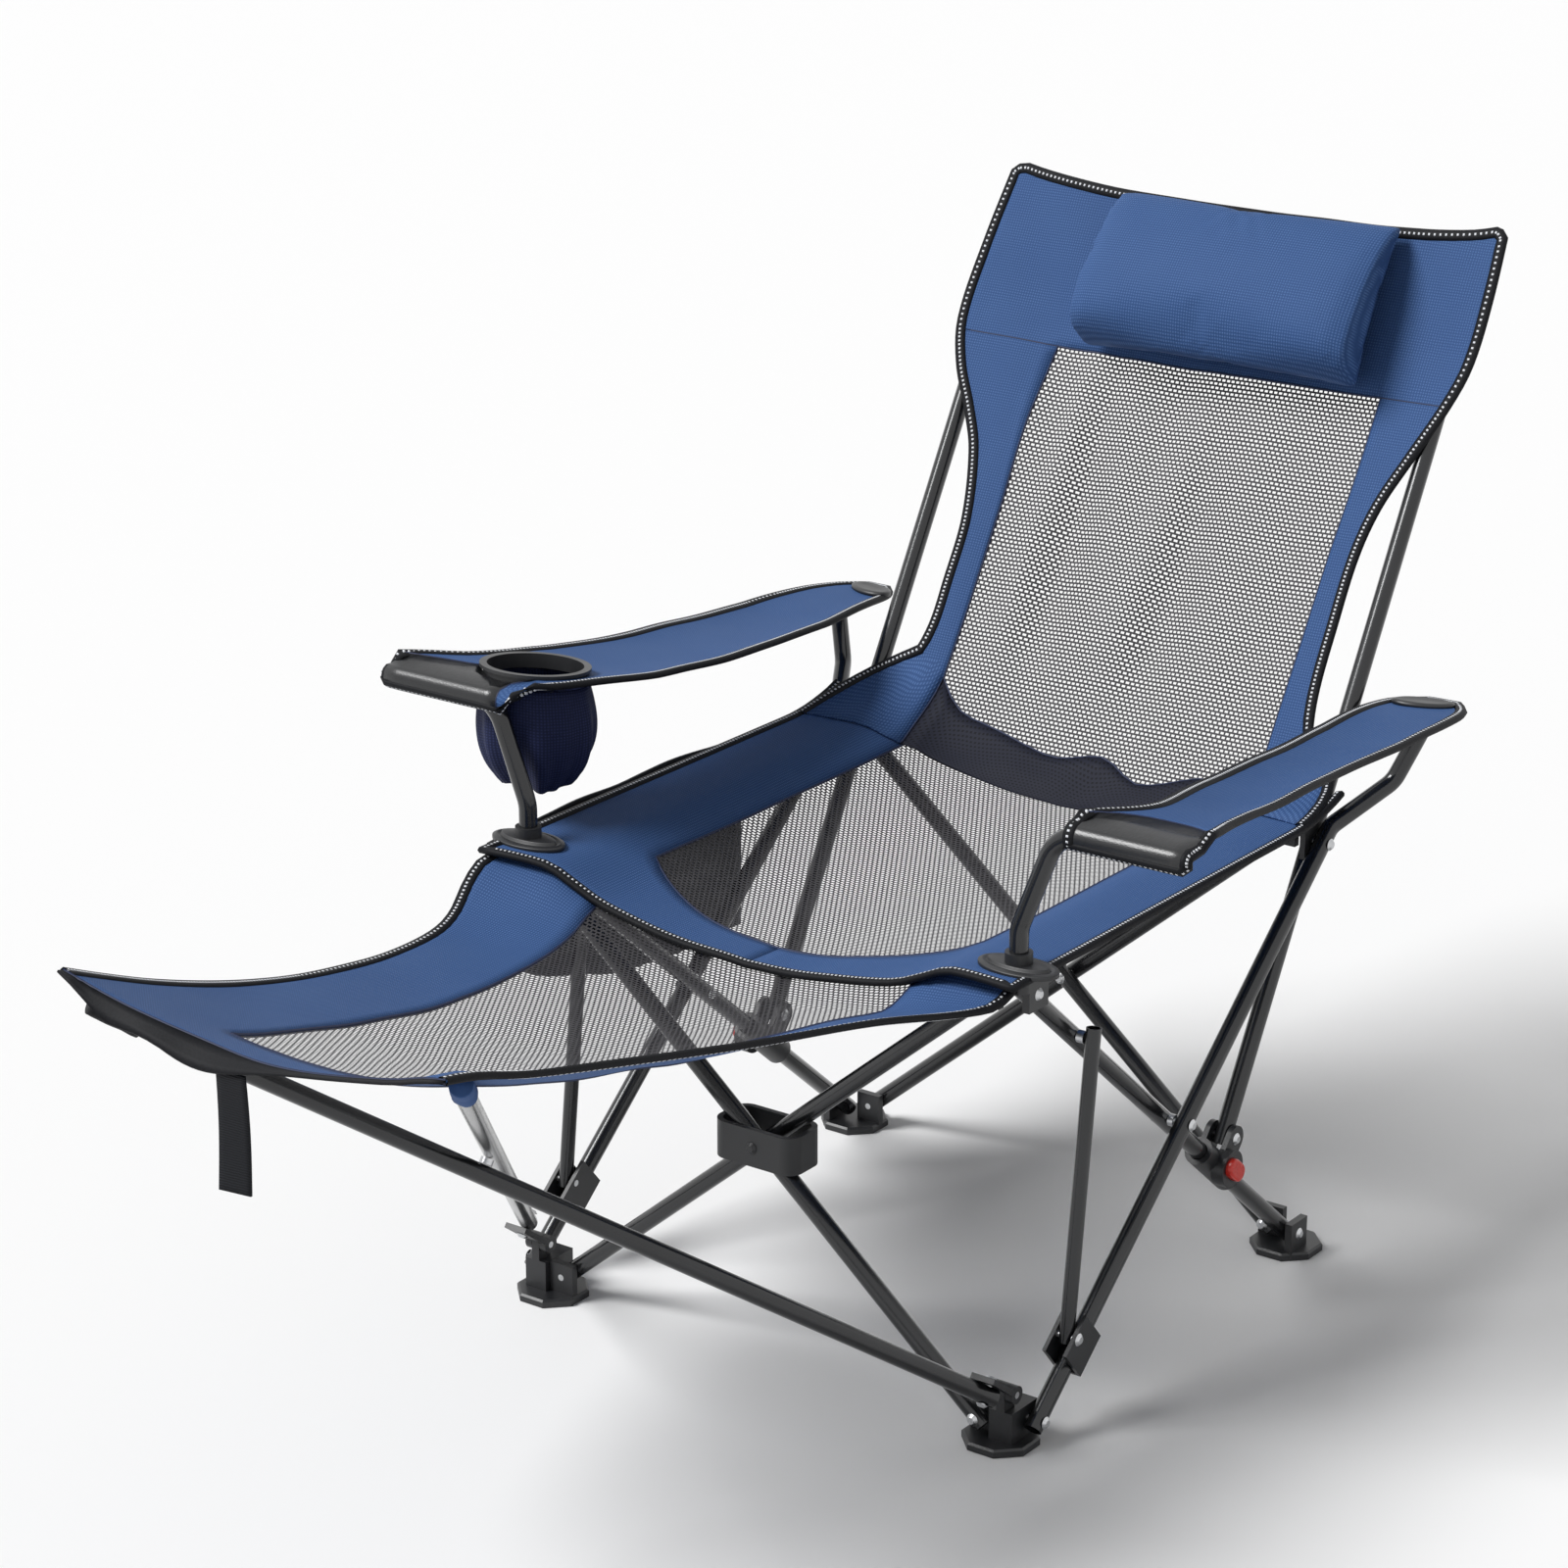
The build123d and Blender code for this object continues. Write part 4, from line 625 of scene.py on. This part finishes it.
# Back: a waisted sling in front of the posts, mesh between oxford borders, with an oxford head panel on top.
# Its upper corners are held on the post ends, and a dense black mesh band closes it to the seat.
band_mesh, tree, shader = begin("black_band_mesh", Roughness=0.65, Specular_IOR_Level=0.15)
spot = add(tree, "ShaderNodeTexCoord").outputs["UV"]
# Two layers of the mesh lie over each other, so the holes are small
holes = add(tree, "ShaderNodeTexBrick", {
    "Vector": spot, "Scale": 100.0, "Mortar Size": 0.12, "Mortar Smooth": 0.2, "Brick Width": 0.42,
    "Row Height": 0.34}, offset=0.5)
tint = add(tree, "ShaderNodeMix", {"Factor": holes.outputs["Fac"], "A": paint("#0B0C13"),
                                   "B": paint("#1E202C")}, data_type="RGBA")
tree.links.new(tint.outputs["Result"], shader.inputs["Base Color"])
bump = add(tree, "ShaderNodeBump", {"Height": holes.outputs["Fac"], "Strength": 0.5, "Distance": 0.0008})
tree.links.new(bump.outputs["Normal"], shader.inputs["Normal"])

PIN_Y, PIN_Z, POST_LEAN = 0.34448, 0.15707, math.radians(29.92)
# The back's half widths, and its mesh's, by the distance up the posts from their pins
BACK_LEFT = [(0.255, 0.272), (0.30, 0.268), (0.318, 0.247), (0.345, 0.215), (0.385, 0.199),
             (0.44, 0.197), (0.50, 0.198), (0.566, 0.213), (0.603, 0.231), (0.645, 0.255), (0.69, 0.269),
             (0.767, 0.267), (0.86, 0.258)]
BACK_RIGHT = [(0.255, 0.272), (0.30, 0.268), (0.322, 0.247), (0.35, 0.227), (0.395, 0.216),
              (0.468, 0.214), (0.533, 0.215), (0.58, 0.223), (0.629, 0.241), (0.679, 0.26), (0.72, 0.27),
              (0.78, 0.271), (0.86, 0.266)]
NET_LEFT = [(0.255, 0.172), (0.40, 0.166), (0.52, 0.164), (0.60, 0.165), (0.68, 0.158)]
NET_RIGHT = [(0.255, 0.18), (0.40, 0.184), (0.52, 0.186), (0.60, 0.189), (0.68, 0.19)]
BACK_TOP, HEAD_SEAM = 0.853, 0.68
BACK_SIDE, BACK_COLUMNS = 7, 38
BACK_BEND, BACK_HEAD, BACK_ROWS = 8, 48, 64


def on_posts(x, run, forward):
    """A place on the back: across, up the posts from their pins, and forward of their middles."""
    return Vector((x, PIN_Y + run * math.sin(POST_LEAN) - forward * math.cos(POST_LEAN) + FRONT_Y,
                   PIN_Z + run * math.cos(POST_LEAN) + forward * math.sin(POST_LEAN)))


def lay_back(i, j):
    """Borders of 7 columns and a mesh of 24 between them; 8 rows bend up from the seat, 40 are mesh
    and 16 the head."""
    across = clip((i - BACK_SIDE) / (BACK_COLUMNS - 2 * BACK_SIDE))
    top = BACK_TOP - 0.017 * (1 - (2 * (i / BACK_COLUMNS) - 1) ** 4)

    def spread(left, right, net_left, net_right):
        if i < BACK_SIDE:
            return left + (net_left - left) * i / BACK_SIDE
        if i > BACK_COLUMNS - BACK_SIDE:
            return right - (right - net_right) * (BACK_COLUMNS - i) / BACK_SIDE
        return net_left + (net_right - net_left) * across

    def up_back(run):
        x = spread(-line(BACK_LEFT, run), line(BACK_RIGHT, run),
                   -line(NET_LEFT, min(run, HEAD_SEAM)), line(NET_RIGHT, min(run, HEAD_SEAM)))
        half = line(BACK_LEFT, run) if x < 0 else line(BACK_RIGHT, run)
        slack = max(0.0, 1 - (x / half) ** 2)
        forward = 0.0105 - 0.013 * slack * math.sin(math.pi * clip((run - 0.25) / 0.62))
        # Long soft folds hang down the mesh, deepest on the side of the cup holder
        calm = clip((run - 0.31) / 0.1) * clip((0.72 - run) / 0.1)
        deep = 0.022 * (1.2 - across)
        forward += deep * noise.noise(Vector((x * 24, run * 3.0, 2.2))) * slack * calm
        if run > HEAD_SEAM:
            forward += 0.004 * noise.noise(Vector((x * 14 + run * 6, run * 9, 5.0))) * min(slack * 4, 1)
        return on_posts(x, run, forward)

    edge_x = spread(-0.272, 0.272, -0.172, 0.172)
    out = max(0.0, (abs(edge_x) - 0.165) / 0.107)
    seat_z = line(SEAT_Z, abs(edge_x)) + 0.002
    start = (seat_z - 0.162) / 0.8667 + (0.052 - 0.03 * across) * (1 - out) + 0.06 * out
    start += 0.022 * noise.noise(Vector((edge_x * 17, 0.4, 3.0))) * (1 - out)
    if j <= BACK_BEND:
        foot = Vector((edge_x, 0.452 - 0.032 * out ** 0.5 + FRONT_Y, seat_z))
        crease = Vector((edge_x, 0.465 + 0.05 * out + FRONT_Y, seat_z - 0.004 + 0.018 * out ** 2))
        t = j / BACK_BEND
        place = foot * (1 - t) ** 2 + crease * 2 * t * (1 - t) + up_back(start) * t ** 2
        # The spare mesh gathers into a loose roll along the crease
        roll = math.sin(math.pi * t) * (1 - out) * 0.005
        place += Vector((0, -0.5, 0.86)) * roll * (1 + 1.3 * noise.noise(Vector((edge_x * 22, t, 7.0))))
        return place, Vector((place.x, start - 0.052 * (1 - t)))
    if j <= BACK_HEAD:
        run = start + (HEAD_SEAM - start) * (j - BACK_BEND) / (BACK_HEAD - BACK_BEND)
    else:
        run = HEAD_SEAM + (top - HEAD_SEAM) * (j - BACK_HEAD) / (BACK_ROWS - BACK_HEAD)
    place = up_back(run)
    if j == BACK_ROWS and i in (0, BACK_COLUMNS):
        place += Vector((0.005 if i == 0 else -0.005, -0.0025, -0.0043))
    return place, Vector((place.x, run))


def back_zone(i, j):
    """Oxford borders and head are 0, the mesh is 1, and the band along the seat is 2."""
    if j >= BACK_HEAD or i < BACK_SIDE or i >= BACK_COLUMNS - BACK_SIDE:
        return 0
    return 2 if j < BACK_BEND else 1


back = cut(
    "back", BACK_COLUMNS, BACK_ROWS, lay_back, back_zone,
    [("back_panels", oxford, 0.0018), ("back_mesh", sling_mesh, 0), ("back_band", band_mesh, 0.0012)],
    lambda i, j: j > 0.001,
    lambda i, j: j == BACK_HEAD and not BACK_SIDE <= i <= BACK_COLUMNS - BACK_SIDE)
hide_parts("back_sling")
for piece in back[1:]:
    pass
BACK_GATHER = ((1, 0, 0), (-0.262, 0, 0), 0.32)
fold_with(back, "back_post_left", *BACK_GATHER)

# Head pillow: a stuffed oxford bolster, hung in front of the head panel from the top edge of the back.
# The filling swells it to the front, so it is tight above and turns sharply under along its lower edge.
PILLOW_LEFT, PILLOW_RIGHT, PILLOW_LOW, PILLOW_HIGH = -0.12, 0.174, 0.677, 0.838
form = bmesh.new()
bmesh.ops.create_cube(form, size=1)
bmesh.ops.subdivide_edges(form, edges=form.edges, cuts=15, use_grid_fill=True)
for v in form.verts:
    across, up, out = v.co.x * 2, v.co.y * 2, v.co.z + 0.5
    x = (PILLOW_LEFT + PILLOW_RIGHT) / 2 + across * (PILLOW_RIGHT - PILLOW_LEFT) / 2
    run = (PILLOW_LOW + PILLOW_HIGH) / 2 + up * (PILLOW_HIGH - PILLOW_LOW) / 2
    away = (up + 0.45) / 1.45 if up > -0.45 else (up + 0.45) / 0.55
    crown = 0.06 * max(0.0, 1 - abs(away) ** (1.7 if up > -0.45 else 3.4)) ** 0.6
    thick = crown * (0.8 + 0.2 * (1 - abs(across) ** 9))
    v.co = on_posts(x, run, 0.0175 + out * thick)
bmesh.ops.recalc_face_normals(form, faces=form.faces)
pillow = show("head_pillow", form, [oxford])
remesh = pillow.modifiers.new("even", "REMESH")
remesh.mode, remesh.voxel_size = "VOXEL", 0.005
fabric = pillow.modifiers.new("stuffing", "CLOTH")
fabric.settings.use_pressure = True
fabric.settings.uniform_pressure_force = 3.0
fabric.settings.effector_weights.gravity = 0
for step in range(1, 17):
    bpy.context.scene.frame_set(step)
swollen = bpy.data.meshes.new_from_object(pillow.evaluated_get(bpy.context.evaluated_depsgraph_get()))
pillow.modifiers.clear()
pillow.data = swollen
bpy.context.scene.frame_set(1)
for face in pillow.data.polygons:
    face.use_smooth = True
cover = pillow.data.uv_layers.new(name="cut")
for loop in pillow.data.loops:
    co = pillow.data.vertices[loop.vertex_index].co
    cover.data[loop.index].uv = (co.x, co.y * math.sin(POST_LEAN) + co.z * math.cos(POST_LEAN))
smooth = pillow.modifiers.new("smooth", "SUBSURF")
smooth.levels = smooth.render_levels = 1
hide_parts("headrest_pillow")
fold_with([pillow], "headrest", *BACK_GATHER)

# Armrests: oxford webs from the arm posts to the tops of the front legs, bound all round.
# Their front ends are sleeves of black vinyl pulled over the posts, and their rear ends carry an oval plate.
vinyl, tree, shader = begin("black_pvc_leatherette", Roughness=0.3, IOR=1.52)
spot = add(tree, "ShaderNodeTexCoord").outputs["UV"]
# Embossed pebbles about 2 mm across
pebble = add(tree, "ShaderNodeTexVoronoi", {"Vector": spot, "Scale": 480.0}).outputs["Distance"]
tint = add(tree, "ShaderNodeMix", {"Factor": pebble, "A": paint("#1F2023"), "B": paint("#121315")},
           data_type="RGBA")
tree.links.new(tint.outputs["Result"], shader.inputs["Base Color"])
bump = add(tree, "ShaderNodeBump", {"Height": pebble, "Strength": 0.2, "Distance": 0.0004})
tree.links.new(bump.outputs["Normal"], shader.inputs["Normal"])

# Inner and outer edges from the middle of the chair, by the distance from the front scissor
ARM_INNER = {
    "right": [(-0.03, 0.300), (0.0, 0.301), (0.02, 0.308), (0.045, 0.322), (0.07, 0.328), (0.1, 0.324),
              (0.15, 0.313), (0.211, 0.302), (0.31, 0.291), (0.445, 0.273), (0.54, 0.267), (0.585, 0.272),
              (0.606, 0.292)],
    "left": [(-0.03, 0.272), (-0.015, 0.252), (0.0, 0.241), (0.03, 0.23), (0.0536, 0.225), (0.09, 0.22),
             (0.13, 0.219), (0.21, 0.223), (0.29, 0.23), (0.38, 0.243), (0.455, 0.255), (0.54, 0.271),
             (0.585, 0.282), (0.606, 0.298)]}
ARM_OUTER = {
    "right": [(-0.03, 0.419), (0.03, 0.411), (0.073, 0.402), (0.238, 0.377), (0.356, 0.362),
              (0.475, 0.354), (0.556, 0.346), (0.585, 0.338), (0.606, 0.322)],
    "left": [(-0.03, 0.416), (0.0, 0.412), (0.03, 0.392), (0.06, 0.368), (0.1, 0.354), (0.17, 0.347),
             (0.241, 0.345), (0.33, 0.349), (0.407, 0.352), (0.475, 0.354), (0.556, 0.346),
             (0.585, 0.338), (0.606, 0.322)]}
# Front and rear edges of the sleeve, by the share of the way out
SLEEVE_FRONT = {"right": [(0.0, -0.004), (0.25, -0.014), (0.5, -0.02), (0.75, -0.014), (1.0, 0.002)],
                "left": [(0.0, -0.004), (0.12, -0.014), (0.3, -0.03), (0.6, -0.025), (0.85, -0.014),
                         (1.0, -0.006)]}
SLEEVE_REAR = {"right": [(0.0, 0.006), (0.2, 0.026), (0.4, 0.034), (0.7, 0.036), (1.0, 0.026)],
               "left": [(0.0, 0.012), (0.3, 0.024), (0.5, 0.03), (0.8, 0.022), (1.0, 0.01)]}
ARM_SAG = {"left": 0.006, "right": 0.005}
ARM_COLUMNS, SLEEVE_ROWS, ARM_ROWS, ARM_END = 12, 8, 60, 0.606
POST_Y, POST_Z, SLEEVE_RADIUS, SLEEVE_END = -0.004, 0.5521, 0.0096, 0.404
# Where the rows of the sleeve lie round the tube, in degrees forward from its top
SLEEVE_TURN = (155, 133, 111, 88, 66, 44, 22, 4)
ARM_GATHER = ((0, 1, 0), (0, POST_Y + FRONT_Y, 0), 0.2)
CUP_X, CUP_Y = 0.29, 0.0536
for side, number in SIDES:
    def lay_arm(i, j, side=side, number=number):
        """12 columns across; a sleeve of 8 rows over the post, then 52 rows of web."""
        front, rear = line(SLEEVE_FRONT[side], i / ARM_COLUMNS), line(SLEEVE_REAR[side], i / ARM_COLUMNS)
        wrapped = 1.0 if side == "right" else clip((i - 0.5) / 1.5)
        if j <= SLEEVE_ROWS:
            y = front + (rear - front) * j / SLEEVE_ROWS
        else:
            y = rear + (ARM_END - rear) * (j - SLEEVE_ROWS) / (ARM_ROWS - SLEEVE_ROWS)
        inner, outer = line(ARM_INNER[side], y), line(ARM_OUTER[side], y)
        x = inner + (outer - inner) * i / ARM_COLUMNS
        top = 0.5705 - 0.1104 * (y + 0.016)
        rest = clip((y - 0.02) / 0.12) * clip((0.54 - y) / 0.1)
        z = top - ARM_SAG[side] * rest * math.sin(math.pi * clip(y / 0.58))
        z -= 0.004 * rest * (1 - (2 * i / ARM_COLUMNS - 1) ** 2)
        if y < POST_Y:
            z -= 0.016 * ((POST_Y - y) / 0.022) ** 2
        z += 0.002 * math.exp(-((y - POST_Y) / 0.012) ** 2)
        z += 0.0015 * noise.noise(Vector((x * 20, y * 12, 3.1 + number)))
        place = Vector((x, y, z))
        spot = Vector((x * number, y - 0.02 * wrapped * (SLEEVE_ROWS - min(j, SLEEVE_ROWS)) / SLEEVE_ROWS))
        if j < SLEEVE_ROWS:
            # The sleeve lies round the front of the post's tube and is pinched flat past its end
            around = math.radians(SLEEVE_TURN[j])
            radius = SLEEVE_RADIUS if i < ARM_COLUMNS else 0.0035
            begins = 0.3 if side == "right" else 0.25
            along = begins + (SLEEVE_END - begins) * i / (ARM_COLUMNS - 1) if i < ARM_COLUMNS else 0.41
            sleeve = Vector((along, POST_Y - radius * math.sin(around), POST_Z + radius * math.cos(around)))
            if j == SLEEVE_ROWS - 1:
                sleeve.y = (sleeve.y + rear) / 2
                sleeve.z += 0.001
            place = place.lerp(sleeve, wrapped)
        return Vector((place.x * number, place.y + FRONT_Y, place.z)), spot

    def arm_zone(i, j, side=side):
        """The sleeve is panel 1, which on the cup holder's side stops at the ring."""
        return 1 if j < SLEEVE_ROWS and (side == "right" or i >= 2) else 0

    made = cut(
        f"armrest_{side}", ARM_COLUMNS, ARM_ROWS, lay_arm, arm_zone,
        [(f"arm_web_{side}", oxford, 0.0022), (f"arm_sleeve_{side}", vinyl, 0.0026)],
        lambda i, j: True)
    if side == "left":
        hole = bmesh.new()
        bmesh.ops.create_cone(hole, cap_ends=True, segments=48, radius1=0.0455, radius2=0.0455, depth=0.2,
                              matrix=Matrix.Translation((-CUP_X, CUP_Y + FRONT_Y, 0.56)))
        punch = show("cup_punch", hole, [])
        for piece in made:
            cutter = piece.modifiers.new("cup_hole", "BOOLEAN")
            cutter.object, cutter.operation, cutter.solver = punch, "DIFFERENCE", "EXACT"
            shaped = piece.evaluated_get(bpy.context.evaluated_depsgraph_get())
            opened = bpy.data.meshes.new_from_object(shaped)
            piece.modifiers.clear()
            piece.data = opened
        bpy.data.objects.remove(punch)
    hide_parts(f"armrest_{side}")
    for piece in made[1:]:
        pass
    fold_with(made, f"front_hub_{side}", *ARM_GATHER)
    turn = Matrix.Rotation(math.radians(-6.3), 4, "X") @ Matrix.Rotation(math.radians(30 * number), 4, "Z")
    plate = oval_plate(f"arm_plate_{side}", 40, 0.028, 0.0165, [(0.004, 0.0012), (0.005, -0.001)],
                       Matrix.Translation((0.3 * number, 0.578 + FRONT_Y, 0.5055)) @ turn)
    fold_with([plate], f"front_hub_{side}", *ARM_GATHER)

# Cup pouch: navy oxford gathered under the moulded ring, with a bottom of the dense mesh.
# It hangs in loose upright folds that draw in to the bottom.
navy = weave("navy_pouch_cloth", "#343D64", "#272F56", "#191F3C")
pouch_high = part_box("cup_pouch")[1]
form = bmesh.new()
bmesh.ops.create_grid(form, x_segments=96, y_segments=22, size=0.5)
uv = form.loops.layers.uv.new("cut")
spots = {}
for v in form.verts:
    turn, down = (v.co.x + 0.5) * 2 * math.pi, 0.5 - v.co.y
    fold = 0.0035 * down * math.sin(turn * 7 + 1.1) + 0.0025 * down * math.sin(turn * 13)
    wide = 0.0465 + 0.006 * math.sin(math.pi * min(down * 1.1, 1)) - 0.016 * down ** 6 + fold
    spots[v] = Vector(((v.co.x + 0.5) * 0.29, -down * 0.096))
    tip = 0.1104 * math.sin(turn) * wide * (1 - down)
    v.co = Vector((-CUP_X + wide * math.cos(turn), CUP_Y + FRONT_Y + 0.0015 + wide * math.sin(turn),
                   pouch_high.z - 0.006 - down * 0.09 - tip + 0.004 * down * math.sin(turn * 3)))
for face in form.faces:
    for loop in face.loops:
        loop[uv].uv = spots[loop.vert]
bmesh.ops.remove_doubles(form, verts=form.verts, dist=0.0002)
rim = [edge for edge in form.edges
       if edge.is_boundary and min(v.co.z for v in edge.verts) < pouch_high.z - 0.06]
low = min(v.co.z for edge in rim for v in edge.verts)
drawn = bmesh.ops.extrude_edge_only(form, edges=rim)["geom"]
inner = [v for v in drawn if isinstance(v, bmesh.types.BMVert)]
middle = Vector((-CUP_X, CUP_Y + FRONT_Y + 0.0015, low + 0.002))
for v in inner:
    v.co = middle + (v.co - middle) * 0.12
    v.co.z = low + 0.001
last = [edge for edge in form.edges if edge.is_boundary and all(v in inner for v in edge.verts)]
bmesh.ops.contextual_create(form, geom=last)
floor_faces = [face for face in form.faces if any(v in inner for v in face.verts)]
bmesh.ops.recalc_face_normals(form, faces=form.faces)
for face in floor_faces:
    face.material_index = 1
    for loop in face.loops:
        loop[uv].uv = (loop.vert.co.x, loop.vert.co.y)
pouch = show("cup_pouch_cloth", form, [navy, band_mesh])
thicken(pouch, 0.0014)
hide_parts("cup_pouch")
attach(pouch, "front_hub_left")

# Floor, soft light and the camera, as for a plain product picture: a pale floor that keeps the shadow,
# one wide lamp and an even white surround.
floor_finish = begin("pale_floor", Roughness=0.9, Base_Color=paint("#F4F4F4"))[0]
form = bmesh.new()
bmesh.ops.create_grid(form, x_segments=1, y_segments=1, size=14)
bmesh.ops.translate(form, vec=(0, 0, -0.0005), verts=form.verts)
floor = show("floor", form, [floor_finish])
world = bpy.data.worlds.new("studio")
bpy.context.scene.world = world
world.use_nodes = True
tree = world.node_tree
backdrop = tree.nodes["Background"]
backdrop.inputs["Color"].default_value = (1, 1, 1, 1)
path = add(tree, "ShaderNodeLightPath")
mirrored = add(tree, "ShaderNodeMath", {0: path.outputs["Is Glossy Ray"],
                                        1: path.outputs["Is Transmission Ray"]}, operation="MAXIMUM")
seen = add(tree, "ShaderNodeMath", {0: path.outputs["Is Camera Ray"], 1: mirrored.outputs["Value"]},
           operation="MAXIMUM")
strength = add(tree, "ShaderNodeMapRange", {"Value": seen.outputs["Value"], "To Min": 0.3, "To Max": 1.0})
tree.links.new(strength.outputs["Result"], backdrop.inputs["Strength"])
lamp = bpy.data.lights.new("key", "SUN")
lamp.energy, lamp.angle = 3.3, math.radians(26)
light = bpy.data.objects.new("key", lamp)
light.rotation_euler = Vector((0.5, 0.6, -0.85)).to_track_quat("-Z", "Y").to_euler()
bpy.context.scene.collection.objects.link(light)
bpy.context.scene.view_settings.view_transform = "Standard"
eye = bpy.data.cameras.new("camera")
eye.lens, eye.sensor_width = 100.76, 36.0
camera = bpy.data.objects.new("camera", eye)
camera.location = (2.0290, -2.7580 + FRONT_Y, 1.7195)
aim = Vector((0, 0.024 + FRONT_Y, 0.525)) - camera.location
camera.rotation_euler = aim.to_track_quat("-Z", "Y").to_euler()
bpy.context.scene.collection.objects.link(camera)
bpy.context.scene.camera = camera
